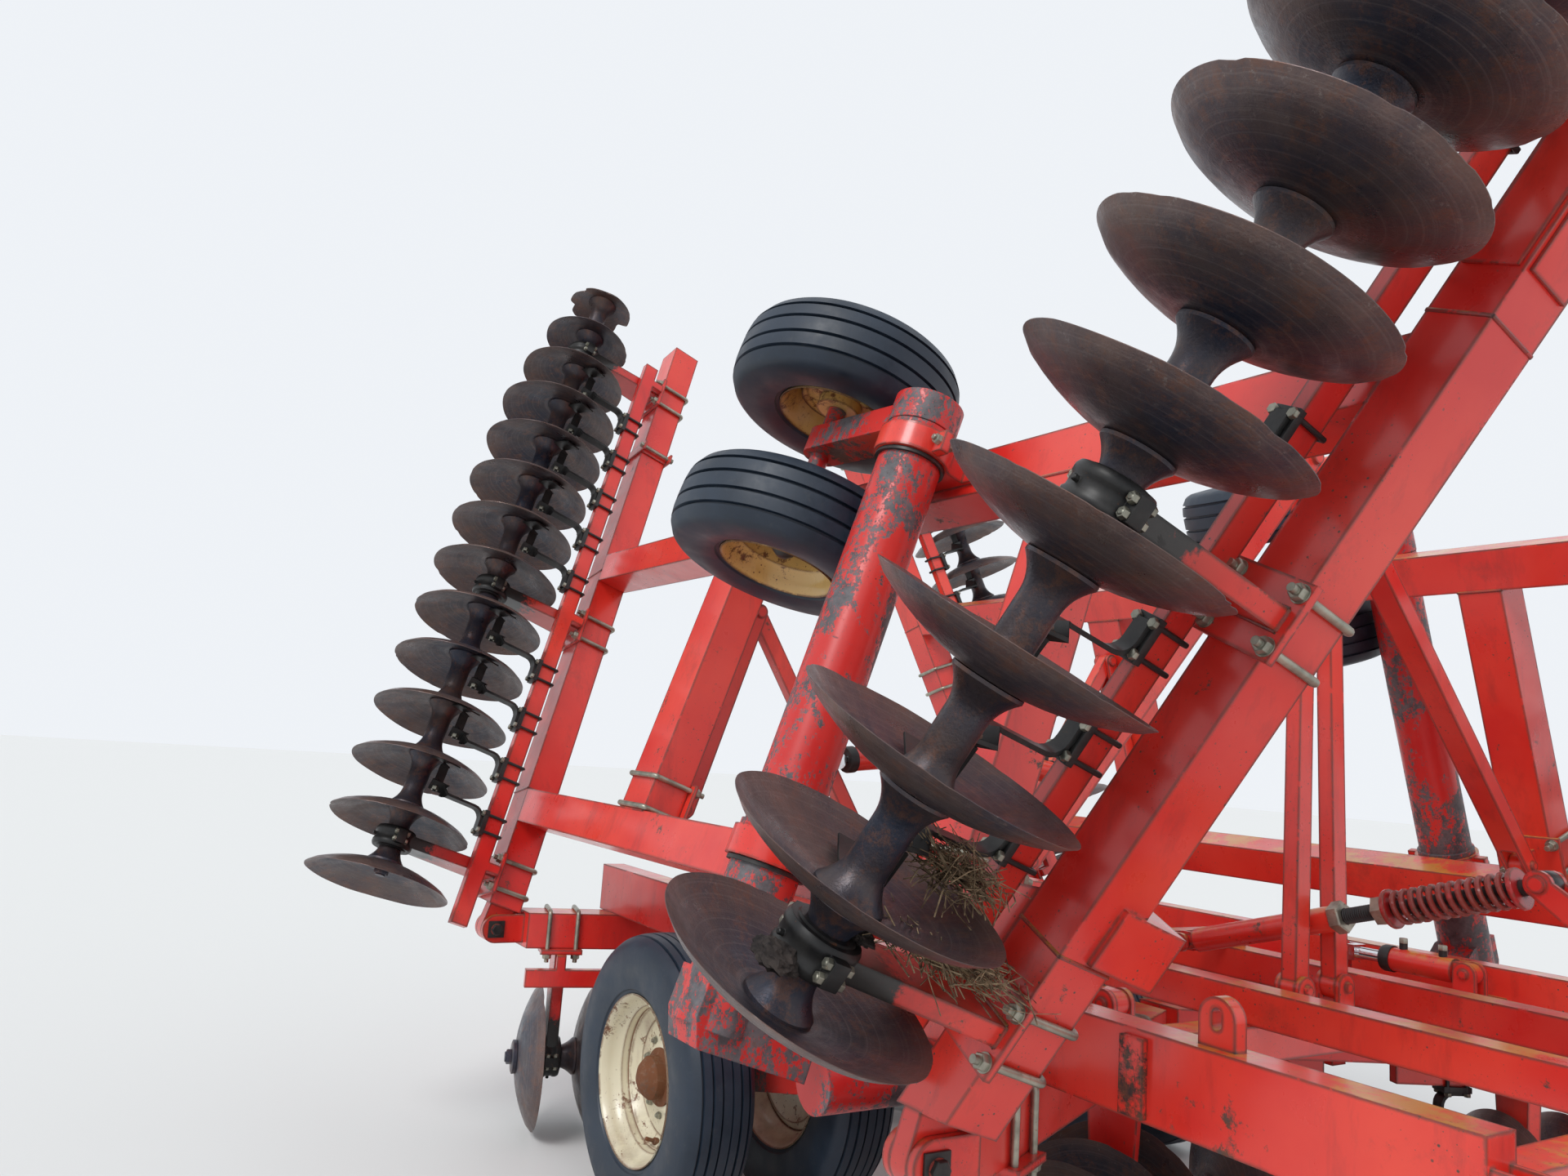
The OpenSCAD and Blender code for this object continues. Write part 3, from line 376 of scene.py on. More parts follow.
def worn_pipe():
    """The rockshaft pipes: paint rubbed to grey in long patches with speckled borders."""
    g = Graph("worn_red_pipe")
    rounded = g.rounded(0.006)
    patches = g.noise(5.2, 12, 0.80, g.stretch((1.0, 1.0, 0.55)))
    speckle = g.ramp(g.noise(70, 5, 0.8), 0.3, 0.7, -0.07, 0.07)
    worn = g.ramp(g.math("ADD", patches, speckle), 0.492, 0.520)
    clouds = g.noise(2.1, 5, 0.55)
    red = g.mix(g.ramp(clouds, 0.35, 0.7), *PIPE_RED)
    grey = g.mix(g.ramp(g.noise(18, 8, 0.7), 0.35, 0.65), *PIPE_GREY)
    colour = g.mix(worn, red, grey)
    rust = g.ramp(g.noise(9, 9, 0.75), 0.56, 0.66, 0.0, 0.8)
    colour = g.mix(g.math("MULTIPLY", worn, rust), colour, PIPE_RUST)
    colour = g.mix(specks(g, 60, 0.16), colour, PIPE_SPECK)
    relief = g.math("SUBTRACT", g.math("MULTIPLY", g.noise(45, 4, 0.6), 0.3), worn)
    rough = g.ramp(worn, 0, 1, 0.32, 0.55)
    return g.finish(colour, rough, 0.0, g.bump(relief, 0.3, 0.001, rounded))


def blade_steel():
    """Soil-dark blades: blue-brown scale, a browner rim, rust blooms, fine scoring and dull scuffs."""
    g = Graph("blade_steel")
    blotch = g.noise(3.2, 9, 0.7)
    colour = g.mix(g.ramp(blotch, 0.38, 0.66), *BLADE_SCALE)
    to_rim = g.node("ShaderNodeAttribute", attribute_name="rim").outputs["Fac"]
    rim = g.math("MULTIPLY", g.ramp(to_rim, 0.22, 0.95), g.ramp(g.noise(4, 8, 0.75), 0.34, 0.62))
    colour = g.mix(g.math("MULTIPLY", rim, 0.8), colour, BLADE_RIM)
    rust = g.ramp(g.noise(15, 10, 0.85), 0.51, 0.60)
    colour = g.mix(g.math("MULTIPLY", rust, 0.65), colour, BLADE_RUST)
    scuffs = g.ramp(g.noise(48, 9, 0.85), 0.575, 0.65)
    scuffs = g.math("MULTIPLY", scuffs, g.ramp(to_rim, 0.2, 1.0, 0.15, 0.75))
    colour = g.mix(scuffs, colour, BLADE_SCUFF)
    spread = g.node("ShaderNodeCombineXYZ")
    g.link(to_rim, spread.inputs["X"])
    arcs = g.ramp(g.noise(26, 4, 0.7, spread.outputs[0]), 0.50, 0.64, 0.0, 0.55)
    colour = g.mix(g.math("MULTIPLY", arcs, g.noise(5, 5, 0.7)), colour, BLADE_SCORE)
    dust = g.ramp(g.noise(2.4, 7, 0.75), 0.56, 0.74, 0.0, 0.35)
    colour = g.mix(dust, colour, BLADE_DUST)
    rough = g.ramp(g.noise(9, 8, 0.7), 0.35, 0.65, 0.24, 0.52)
    relief = g.math("ADD", g.noise(38, 8, 0.7), g.math("MULTIPLY", g.noise(150, 4, 0.6), 0.5))
    return g.finish(colour, rough, 0.45, g.bump(relief, 0.6, 0.0020))


def rubber():
    g = Graph("tyre_rubber")
    clouds = g.noise(6, 7, 0.65)
    colour = g.mix(g.ramp(clouds, 0.35, 0.7), *TYRE_BLACK)
    dust = g.ramp(g.noise(22, 7, 0.7), 0.57, 0.78, 0.0, 0.22)
    colour = g.mix(dust, colour, TYRE_DUST)
    rough = g.ramp(g.noise(12, 5, 0.6), 0.3, 0.7, 0.40, 0.62)
    relief = g.noise(70, 6, 0.7)
    return g.finish(colour, rough, 0.0, g.bump(relief, 0.2, 0.0012))


def bare_steel(name, dark, light, rust_share=0.3, rough=0.5, metal=0.75):
    g = Graph(name)
    colour = g.mix(g.ramp(g.noise(18, 6, 0.6), 0.35, 0.65), dark, light)
    rust = g.ramp(g.noise(34, 8, 0.75), 0.66 - rust_share * 0.3, 0.74 - rust_share * 0.3)
    colour = g.mix(g.math("MULTIPLY", rust, 0.85), colour, STEEL_RUST)
    roughness = g.math("ADD", g.math("MULTIPLY", rust, 0.3), rough)
    return g.finish(colour, roughness, metal, g.bump(g.noise(90, 5, 0.6), 0.2, 0.0008, g.rounded(0.002)))


def chrome():
    g = Graph("chrome_rod")
    rough = g.ramp(g.noise(30, 6, 0.7), 0.4, 0.7, 0.08, 0.3)
    colour = g.mix(g.ramp(g.noise(12, 6, 0.7), 0.55, 0.7), *CHROME_TINT)
    return g.finish(colour, rough, 1.0)


def soil():
    g = Graph("dried_mud")
    colour = g.mix(g.ramp(g.noise(25, 8, 0.7), 0.35, 0.65), *SOIL)
    return g.finish(colour, 0.95, 0.0, g.bump(g.noise(60, 8, 0.8), 0.8, 0.006))


def straw():
    g = Graph("straw")
    colour = g.mix(g.ramp(g.noise(40, 3, 0.5), 0.35, 0.65), *STRAW_TINT)
    return g.finish(colour, 0.8)


def gang_axes(frame_at, wing):
    """Point and direction of each gang's axle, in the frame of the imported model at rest."""
    axes = []
    for row in ("front", "rear"):
        place = frame_at @ row_frame(row)
        point = place @ Vector((gang_first(row, wing), 0, -GANG_DROP))
        axes.append((point, (place.to_3x3() @ Vector((1, 0, 0))).normalized()))
    return axes


def arm_paint(name, axes):
    return painted(name, PAINT_RED, FADED_RED, UNDER_RED, 0.60, 0.35, axes)


RED = painted("red_paint", PAINT_RED, FADED_RED, UNDER_RED, lichen=0.8)
ARM_PAINT = {f"{name}_wing_standards": arm_paint(f"{name}_arm_paint", gang_axes(wing_frame(side), True))
             for name, side in SIDES.items()}
ARM_PAINT["centre_standards"] = arm_paint("centre_arm_paint", [
    axis for side in SIDES.values() for axis in gang_axes(side_frame(side), False)])
PIPE = worn_pipe()
WORN = painted("scraped_plate", PAINT_RED, FADED_RED, UNDER_PLATE, 0.46)
CREAM = painted("cream_paint",
                rgb(0.62, 0.55, 0.38), rgb(0.74, 0.68, 0.52), rgb(0.20, 0.08, 0.035), 0.56, 0.4)
YELLOW = painted("yellow_paint",
                 rgb(0.58, 0.33, 0.075), rgb(0.66, 0.46, 0.17), rgb(0.18, 0.07, 0.03), 0.53, 0.5)
SPRING = painted("spring_red",
                 rgb(0.46, 0.016, 0.018), rgb(0.40, 0.030, 0.026), rgb(0.10, 0.035, 0.022), 0.56, 0.1)
BLADE = blade_steel()
RUBBER = rubber()
CHROME = chrome()
BOLT = bare_steel("bolt_steel", rgb(0.22, 0.22, 0.18), rgb(0.44, 0.42, 0.34), 0.22, 0.38)
RUSTY = bare_steel("rusty_steel", rgb(0.10, 0.05, 0.03), rgb(0.22, 0.10, 0.05), 0.8, 0.6, 0.3)
BLACK = bare_steel("black_steel", rgb(0.016, 0.016, 0.017), rgb(0.04, 0.038, 0.036), 0.12, 0.42, 0.3)
MUD = soil()
STRAW = straw()

SLOT_LOOK = {"red_paint": RED, "blade_steel": BLADE, "tyre": RUBBER, "cream_rim": CREAM,
             "yellow_rim": YELLOW, "chrome_rod": CHROME, "black_steel": BLACK}
PIPE_NODES = ("right_rockshaft", "left_rockshaft", "centre_right_rockshaft", "centre_left_rockshaft")
node_slot = {part["node"]: part["material_slot"] for part in frame["record"]["subparts"]}
for node_name, cad in frame["nodes"].items():
    look = PIPE if node_name in PIPE_NODES else SLOT_LOOK[node_slot[node_name]]
    look = ARM_PAINT.get(node_name, look)
    cad.data.materials.clear()
    cad.data.materials.append(look)


# Shapes are gathered in one mesh a piece, each given in the frame of its place
SQUARE = ((-1, -1), (1, -1), (1, 1), (-1, 1))


def mirrored(section):
    """Half a section of [radius, height], and the same on the far side of height 0."""
    return section + [(r, -z) for r, z in reversed(section)]


class Piece:
    def __init__(self, name, body, look, slot, replaced=(), smooth=35):
        self.name, self.body, self.look, self.slot = name, body, look, slot
        self.replaced, self.smooth = replaced, smooth
        self.mesh = bmesh.new()

    def faces(self, points, faces, place):
        made = [self.mesh.verts.new(place @ Vector(p)) for p in points]
        for face in faces:
            self.mesh.faces.new([made[i] for i in face])
        return made

    def box(self, x, y, z, place, bevel=0.0):
        points = [(a, b, c) for a in x for b in y for c in z]
        sides = [(0, 1, 3, 2), (4, 6, 7, 5), (0, 4, 5, 1), (2, 3, 7, 6), (0, 2, 6, 4), (1, 5, 7, 3)]
        corners = self.faces(points, sides, place)
        if bevel:
            edges = [e for v in corners for e in v.link_edges if e.verts[0] == v]
            bmesh.ops.bevel(self.mesh, geom=edges, offset=bevel, segments=2, affect="EDGES", profile=0.7)

    def turned(self, section, place, sides=32, closed=False):
        """A section of [radius, height] turned about the place's z axis."""
        rings = []
        for radius, height in section:
            if radius < 1e-6:
                rings.append([self.mesh.verts.new(place @ Vector((0, 0, height)))])
                continue
            rings.append([
                self.mesh.verts.new(place @ Vector((radius * math.cos(a), radius * math.sin(a), height)))
                for a in (2 * math.pi * k / sides for k in range(sides))])
        pairs = list(zip(rings, rings[1:]))
        if closed:
            pairs.append((rings[-1], rings[0]))
        for low, high in pairs:
            for k in range(sides):
                n = (k + 1) % sides
                if len(low) == 1 and len(high) == 1:
                    break
                if len(low) == 1:
                    self.mesh.faces.new([low[0], high[n], high[k]])
                elif len(high) == 1:
                    self.mesh.faces.new([low[k], low[n], high[0]])
                else:
                    self.mesh.faces.new([low[k], low[n], high[n], high[k]])

    def rod(self, a, b, radius, place=Matrix(), sides=16, bevel=0.002):
        a, b = Vector(a), Vector(b)
        long = (b - a).length
        turn = (b - a).to_track_quat("Z", "Y").to_matrix().to_4x4()
        at = place @ Matrix.Translation(a) @ turn
        e = min(bevel, radius * 0.4, long * 0.3)
        section = [(0, 0), (radius - e, 0), (radius, e), (radius, long - e), (radius - e, long), (0, long)]
        self.turned(section, at, sides)

    def hexagon(self, at, along, across, thick, place=Matrix()):
        """A nut or bolt head on at, its axis along the given way."""
        turn = Vector(along).to_track_quat("Z", "Y").to_matrix().to_4x4()
        base = place @ Matrix.Translation(Vector(at)) @ turn
        r = across / math.sqrt(3)
        e = thick * 0.18
        self.turned([(0, 0), (r, 0), (r, thick - e), (r * 0.88, thick), (0, thick)], base, 6)

    def bolt(self, at, along, size, place=Matrix(), shank=0.0):
        """A washer, a nut and a little thread, for a bolt of that diameter."""
        turn = Vector(along).to_track_quat("Z", "Y").to_matrix().to_4x4()
        base = place @ Matrix.Translation(Vector(at)) @ turn
        self.turned([(0, 0), (size * 1.05, 0), (size * 1.05, size * 0.15), (0, size * 0.15)], base, 20)
        self.hexagon((0, 0, size * 0.15), (0, 0, 1), size * 1.6, size * 0.8, base)
        if shank:
            self.rod((0, 0, 0), (0, 0, size + shank), size / 2, base, 12, 0.001)

    def weld_ring(self, s, half_y, half_z, place, bead=0.005):
        """A bead of weld round a box tube that lies along the place's x."""
        self.weld_loop([(s, y * half_y, z * half_z) for y, z in SQUARE], place, bead)

    def weld_loop(self, corners, place, bead=0.005):
        for a, b in zip(corners, corners[1:] + corners[:1]):
            self.rod(a, b, bead, place, 8, 0.001)

    def tube(self, points, radius, place=Matrix(), sides=12, flat=None, wide=None):
        """A round bar through points, or a flat one of (width, thickness), its width along wide at first."""
        points = [place @ Vector(p) for p in points]
        rings = []
        side = place.to_3x3() @ Vector(wide) if wide else None
        for i, p in enumerate(points):
            ahead = (points[min(i + 1, len(points) - 1)] - points[max(i - 1, 0)]).normalized()
            if side is None:
                side = ahead.orthogonal().normalized()
            side = (side - ahead * side.dot(ahead)).normalized()
            other = ahead.cross(side)
            if flat:
                w, t = flat[0] / 2, flat[1] / 2
                ring = [side * a * w + other * b * t for a, b in SQUARE]
            else:
                ring = [(side * math.cos(a) + other * math.sin(a)) * radius
                        for a in (2 * math.pi * k / sides for k in range(sides))]
            rings.append([self.mesh.verts.new(p + q) for q in ring])
        count = len(rings[0])
        for low, high in zip(rings, rings[1:]):
            for k in range(count):
                n = (k + 1) % count
                self.mesh.faces.new([low[k], low[n], high[n], high[k]])
        self.mesh.faces.new(list(reversed(rings[0])))
        self.mesh.faces.new(rings[-1])

    def done(self):
        bmesh.ops.recalc_face_normals(self.mesh, faces=self.mesh.faces)
        data = bpy.data.meshes.new(self.name)
        self.mesh.to_mesh(data)
        self.mesh.free()
        data.materials.append(self.look)
        if self.smooth:
            data.shade_smooth()
            data.set_sharp_from_angle(angle=math.radians(self.smooth))
        made = bpy.data.objects.new(self.name, data)
        scene.collection.objects.link(made)
        if self.replaced:
            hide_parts(*self.replaced)
        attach(made, self.body)
        return made


def finish(*pieces):
    for piece in pieces:
        piece.done()


# Gangs: dished blades with worn rims on trumpet-ended spools
GANG_SEED = 7
NICKS = 9
NOTCHES = 7
RIM_WAVE = 0.0012
DISH_R = (BLADE_R ** 2 + DISH ** 2) / (2 * DISH)
BLADE_SIDES = 96
BLADE_RINGS = 9


def blade(piece, place, size, rng, notched=False):
    """One blade about the place's z axis, its hub at the origin and its rim towards +z."""
    ball = DISH_R * size
    rim_angle = math.asin(BLADE_R * size / ball)
    hub_angle = math.asin(0.02 / ball)
    phase = [rng.uniform(0, 2 * math.pi) for _ in range(4)]
    nicks = [(rng.uniform(0, 2 * math.pi), rng.uniform(0.02, 0.06), rng.uniform(0.001, 0.005))
             for _ in range(NICKS)]
    if notched:
        nicks += [(rng.uniform(0, 2 * math.pi), rng.uniform(0.10, 0.22), rng.uniform(0.015, 0.045))
                  for _ in range(NOTCHES)]
    front, back = [], []
    rim_share = piece.mesh.verts.layers.float["rim"]
    for i in range(BLADE_RINGS + 1):
        f, b = [], []
        share_out = i / BLADE_RINGS
        for k in range(BLADE_SIDES):
            a = 2 * math.pi * k / BLADE_SIDES
            loss = RIM_WAVE * sum(math.sin((j + 2) * a + phase[j]) for j in range(4))
            for at, wide, deep in nicks:
                d = abs((a - at + math.pi) % (2 * math.pi) - math.pi)
                if d < wide * 2:
                    loss -= deep * (1 - d / (wide * 2))
            angle = hub_angle + (rim_angle - hub_angle) * share_out
            r = ball * math.sin(angle) + min(loss, 0) * share_out ** 6
            z = ball - math.sqrt(ball ** 2 - r ** 2)
            thick = BLADE_T * (1 if i < BLADE_RINGS else 0.25)
            n = r / ball
            f.append(piece.mesh.verts.new(place @ Vector((r * math.cos(a), r * math.sin(a), z))))
            rb, zb = r + thick * n, z - thick * math.sqrt(1 - n * n)
            if i == BLADE_RINGS:
                rb = r
            b.append(piece.mesh.verts.new(place @ Vector((rb * math.cos(a), rb * math.sin(a), zb))))
            for vert in (f[-1], b[-1]):
                vert[rim_share] = share_out ** 2
        front.append(f)
        back.append(b)
    for i in range(BLADE_RINGS):
        for k in range(BLADE_SIDES):
            n = (k + 1) % BLADE_SIDES
            piece.mesh.faces.new([front[i][k], front[i][n], front[i + 1][n], front[i + 1][k]])
            piece.mesh.faces.new([back[i][k], back[i + 1][k], back[i + 1][n], back[i][n]])
    for k in range(BLADE_SIDES):
        n = (k + 1) % BLADE_SIDES
        piece.mesh.faces.new([front[-1][k], front[-1][n], back[-1][n], back[-1][k]])
        piece.mesh.faces.new([front[0][k], back[0][k], back[0][n], front[0][n]])


def spool(piece, place, long):
    """A cast spool: bell ends with a lip, necking down to the waist."""
    end = []
    for i in range(9):
        t = i / 8
        end.append((SPOOL_R + (SPOOL_FLARE - SPOOL_R) * (1 - t) ** 2.2, 0.012 + 0.075 * t))
    section = [(0, 0.004), (SPOOL_FLARE, 0.004)] + end
    section += [(r, long - z) for r, z in reversed(end)] + [(SPOOL_FLARE, long - 0.004), (0, long - 0.004)]
    piece.turned(section, place, 40)


def gang(name, frame_at, row, wing, rng):
    count = WING_GANGS[row][1] if wing else CENTRE_COUNT
    piece = Piece(name + "_blades", name, BLADE, "blade_steel", (name,), 40)
    piece.mesh.verts.layers.float.new("rim")
    way = DISH_WAY[row]
    along = frame_at @ row_frame(row) @ Matrix.Translation((gang_first(row, wing), 0, -GANG_DROP))
    along = along @ Matrix.Rotation(math.pi / 2, 4, "Y")
    for i in range(count):
        at = along @ Matrix.Translation((0, 0, i * PITCH))
        size = share(row, wing, i)
        turned = at @ Matrix.Rotation(rng.uniform(0, 6), 4, "Z") @ Matrix.Scale(way, 4, (0, 0, 1))
        blade(piece, turned, size, rng, notched=size < 0.6)
        if i < count - 1:
            spool(piece, at, PITCH)
    for at, way_out in ((along, -1), (along @ Matrix.Translation((0, 0, (count - 1) * PITCH)), 1)):
        end = at @ Matrix.Scale(way_out, 4, (0, 0, 1))
        piece.turned([(0, 0), (0.07, 0.004), (0.07, 0.018), (0.06, 0.022), (0, 0.022)], end, 32)
        piece.rod((0, 0, 0.02), (0, 0, 0.05), 0.022, end)
        piece.hexagon((0, 0, 0.022), (0, 0, 1), 0.055, 0.022, end)
    return piece.done()


rng = random.Random(GANG_SEED)
for side_name, side in SIDES.items():
    for row in ("front", "rear"):
        gang(f"{side_name}_{row}_gang", wing_frame(side), row, True, rng)
        gang(f"centre_{side_name}_{row}_gang", side_frame(side), row, False, rng)


# Fittings of the bearing arms, and split castings round their bearings
U_R = 0.010
U_SPREAD = 0.062


def u_bolt(metal, x, half_y, half_z, foot, place, seat=None):
    """A square U-bolt over the top of a beam, its two legs down to foot."""
    leg = half_y + U_R + 0.002
    top = half_z + U_R
    bend = 0.018
    arc = [math.radians(15 * k) for k in range(1, 7)]
    half = [(x, leg, foot), (x, leg, top - bend)]
    half += [(x, leg - bend * (1 - math.cos(a)), top - bend + bend * math.sin(a)) for a in arc]
    metal.tube(half + [(px, -py, pz) for px, py, pz in reversed(half)], U_R, place, 12)
    for y in (-leg, leg):
        metal.bolt((x, y, foot + 0.035 if seat is None else seat), (0, 0, -1), 0.021, place)


def arm_fittings(metal, dark, red, place):
    """Fittings of one bearing arm; the place's origin is the beam's middle, its x along the beam."""
    for x in (-U_SPREAD, U_SPREAD):
        u_bolt(metal, x, BEAM / 2, BEAM / 2, -BEAM / 2 - PLATE_T - 0.035, place)
    red.weld_loop([(x * 0.026, y * (BEAM / 2 + 0.010), -BEAM / 2 - PLATE_T) for x, y in SQUARE], place)
    half_w = HOUSING_W / 2
    r = HOUSING_R
    casting = place @ Matrix.Translation((0, 0, -GANG_DROP)) @ Matrix.Rotation(math.pi / 2, 4, "Y")
    dark.turned(mirrored([(0.0465, -half_w - 0.006), (0.062, -half_w - 0.006), (0.066, -half_w - 0.001),
                          (r + 0.002, -half_w - 0.001), (r + 0.007, -half_w + 0.008), (r + 0.007, -0.018),
                          (r + 0.003, -0.012)]), casting, 40, True)
    for y in (-1, 1):
        ear = sorted((y * (r - 0.012), y * (r + 0.030)))
        dark.box((-0.030, 0.030), ear, (-GANG_DROP - 0.020, -GANG_DROP + 0.020), place, 0.006)
        off = y * (r + 0.016)
        for x in (-0.016, 0.016):
            metal.rod((x, off, -GANG_DROP - 0.034), (x, off, -GANG_DROP + 0.034), 0.007, place, 10)
            for way in (-1, 1):
                metal.hexagon((x, off, -GANG_DROP + way * 0.020), (0, 0, way), 0.022, 0.012, place)
    dark.rod((0, 0, -GANG_DROP - r - 0.016), (0, 0, -GANG_DROP - r), 0.007, place, 10)


# Scrapers: a block clamped under its bar, a bent flat arm in to the spool, and a blade in the dish's hollow
CLAMP_FROM_HUB = 0.225
CLAMP_LOW = 0.022
LEG_OFF = BAR_W / 2 + 0.008
ARM_WIDE = 0.046
ARM_THICK = 0.011


def scraper(dark, metal, place, row, hub, size):
    way = DISH_WAY[row]
    bar_low = -BEAM / 2 - PLATE_T - BAR_DROP[row] - BAR_H

    def at(along, off, z):
        return (hub + way * along, way * off, z)

    def block(along, off, z):
        low, high = at(along[0], off[0], 0), at(along[1], off[1], 0)
        dark.box(sorted((low[0], high[0])), sorted((low[1], high[1])), z, place, 0.003)

    clamp = CLAMP_FROM_HUB
    block((clamp - 0.055, clamp + 0.055), (BAR_OFF - 0.034, BAR_OFF + 0.034), (bar_low - CLAMP_LOW, bar_low))
    for along in (clamp - 0.038, clamp + 0.038):
        leg_low, leg_top = bar_low - 0.030, bar_low + BAR_H + 0.008
        legs = [at(along, BAR_OFF + off * LEG_OFF, z)
                for off, z in ((-1, leg_low), (-1, leg_top), (1, leg_top), (1, leg_low))]
        for a, b in zip(legs, legs[1:]):
            dark.rod(a, b, 0.0065, place, 10, 0.0)
        for off in (-1, 1):
            foot = at(along, BAR_OFF + off * LEG_OFF, bar_low - CLAMP_LOW)
            metal.hexagon(foot, (0, 0, -1), 0.022, 0.012, place)
    seat = bar_low - CLAMP_LOW - ARM_THICK / 2
    end_z = -GANG_DROP + 0.050
    arc = [math.radians(18 * k) for k in range(6)]
    bend = 0.045
    path = [at(clamp + 0.040, BAR_OFF, seat)]
    path += [at(clamp - 0.010 - bend * math.sin(a), BAR_OFF, seat - bend * (1 - math.cos(a))) for a in arc]
    path += [at(clamp - 0.058, BAR_OFF - 0.004, seat - 0.175),
             at(clamp - 0.066, BAR_OFF - 0.012, seat - 0.195),
             at(clamp - 0.095, 0.050, end_z + 0.075), at(clamp - 0.102, 0.040, end_z)]
    dark.tube(path, 0, place, flat=(ARM_WIDE, ARM_THICK), wide=(0, 1, 0))
    tip = at(clamp - 0.100, 0.043, end_z + 0.025)
    dark.rod((tip[0] - way * 0.03, tip[1], tip[2]), (tip[0] + way * 0.030, tip[1], tip[2]), 0.008, place, 10)
    metal.hexagon((tip[0] + way * 0.006, tip[1], tip[2]), (way, 0, 0), 0.030, 0.016, place)
    reach = 0.21 * size
    low_r = 0.075
    hollow = [DISH_R * size - math.sqrt((DISH_R * size) ** 2 - r ** 2) for r in (low_r, reach)]
    foot = [at(clamp - 0.106, 0.043, end_z + 0.03), at(hollow[0] + 0.030, 0.050, end_z + 0.03),
            at(hollow[0] + 0.022, 0.060, end_z + 0.035)]
    dark.tube(foot, 0, place, flat=(0.040, 0.008), wide=(0, 0, 1))
    plate = [at(hollow[0] + 0.013, low_r * 0.75, -GANG_DROP + 0.040),
             at((hollow[0] + hollow[1]) / 2 + 0.004, (low_r + reach) * 0.42, -GANG_DROP + 0.060),
             at(hollow[1] + 0.014, reach * 0.88, -GANG_DROP + 0.075)]
    dark.tube(plate, 0, place, flat=(0.075, 0.006), wide=(0, 0, 1))


for side_name, side in SIDES.items():
    for body, frame_at, wing in ((f"{side_name}_wing", wing_frame(side), True),
                                 ("frame", side_frame(side), False)):
        label = body if wing else f"centre_{side_name}"
        metal = Piece(label + "_u_bolts", body, BOLT, "black_steel")
        dark = Piece(label + "_scrapers", body, BLACK, "black_steel")
        red = Piece(label + "_arm_welds", body, RED, "red_paint")
        for row in ("front", "rear"):
            arms = standard_places(row, wing)
            for s in arms:
                arm_fittings(metal, dark, red, frame_at @ row_frame(row) @ Matrix.Translation((s, 0, 0)))
            count = WING_GANGS[row][1] if wing else CENTRE_COUNT
            for i in range(count):
                hub = gang_first(row, wing) + i * PITCH
                clamp_at = hub + DISH_WAY[row] * CLAMP_FROM_HUB
                if any(0 < DISH_WAY[row] * (s - hub) < PITCH for s in arms):
                    continue
                if not bar_covers(row, wing, clamp_at):
                    continue
                scraper(dark, metal, frame_at @ row_frame(row), row, hub, share(row, wing, i))
        finish(metal, dark, red)


# Tyres with rounded treads and ribs, and deep rims
def groove(at, wide, deep, surface):
    """Points [radius, height] of a groove in a tread whose radius at a height the surface gives."""
    edges = (at - wide / 2, at - wide * 0.32, at + wide * 0.32, at + wide / 2)
    depths = (0, deep, deep, 0)
    return [(surface(z) - d, z) for z, d in zip(edges, depths)]


def tyre(piece, place, size, grooves, wide, deep):
    r, k, half = size["d"] / 2, size["rim"] / 2, size["w"] / 2
    middle = k + (r - k) * 0.5

    def surface(z):
        return middle + (r - middle) * (1 - min(1, abs(z) / half) ** 3.3) ** (1 / 3.3)

    bead = [(k, -half * 0.72), (k + 0.012, -half * 0.84), (k + 0.022, -half * 0.87),
            (k + 0.026, -half * 0.915), (k + 0.034, -half * 0.93), (middle - 0.030, -half * 0.985),
            (middle, -half * 0.998)]
    section = list(bead)
    stops = [-0.97, -0.92, -0.86, *grooves, -0.35, -0.12, 0.12, 0.35, 0.86, 0.92, 0.97]
    for stop in sorted(stops):
        if stop in grooves:
            section += groove(stop * half, wide, deep, surface)
        else:
            section.append((surface(stop * half), stop * half))
    section += [(a, -b) for a, b in reversed(bead)]
    piece.turned(section, place, 112, True)


def dished_rim(piece, place, size, disc):
    """A rim with drop centre, and its disc that far out from the middle."""
    k, e, hub, axle = size["rim"] / 2, size["w"] * 0.36, size["hub"], size["axle"]
    piece.turned([(k + 0.010, -e - 0.018), (k - 0.001, -e), (k - 0.001, e), (k + 0.010, e + 0.018),
                  (k + 0.008, e + 0.024), (k - 0.004, e + 0.012), (k - 0.009, e - 0.012),
                  (k - 0.016, e - 0.034), (k - 0.036, e - 0.052),
                  (k - 0.040, disc + 0.045), (k - 0.044, disc), (k - 0.044, -0.02),
                  (k - 0.030, -0.040), (k - 0.012, -e + 0.030), (k - 0.006, -e - 0.008),
                  (k + 0.008, -e - 0.024)], place, 96, True)
    piece.turned([(k - 0.038, disc + 0.040), (k - 0.056, disc + 0.016), (k * 0.74, disc - 0.004),
                  (k * 0.64, disc + 0.010), (hub * 1.15, disc + 0.012), (hub, disc + 0.022),
                  (axle, disc + 0.022), (axle, disc - 0.045), (hub, disc - 0.045), (hub, disc - 0.006),
                  (k * 0.64, disc - 0.002),
                  (k * 0.74, disc - 0.014), (k - 0.050, disc), (k - 0.036, disc + 0.020)], place, 96, True)


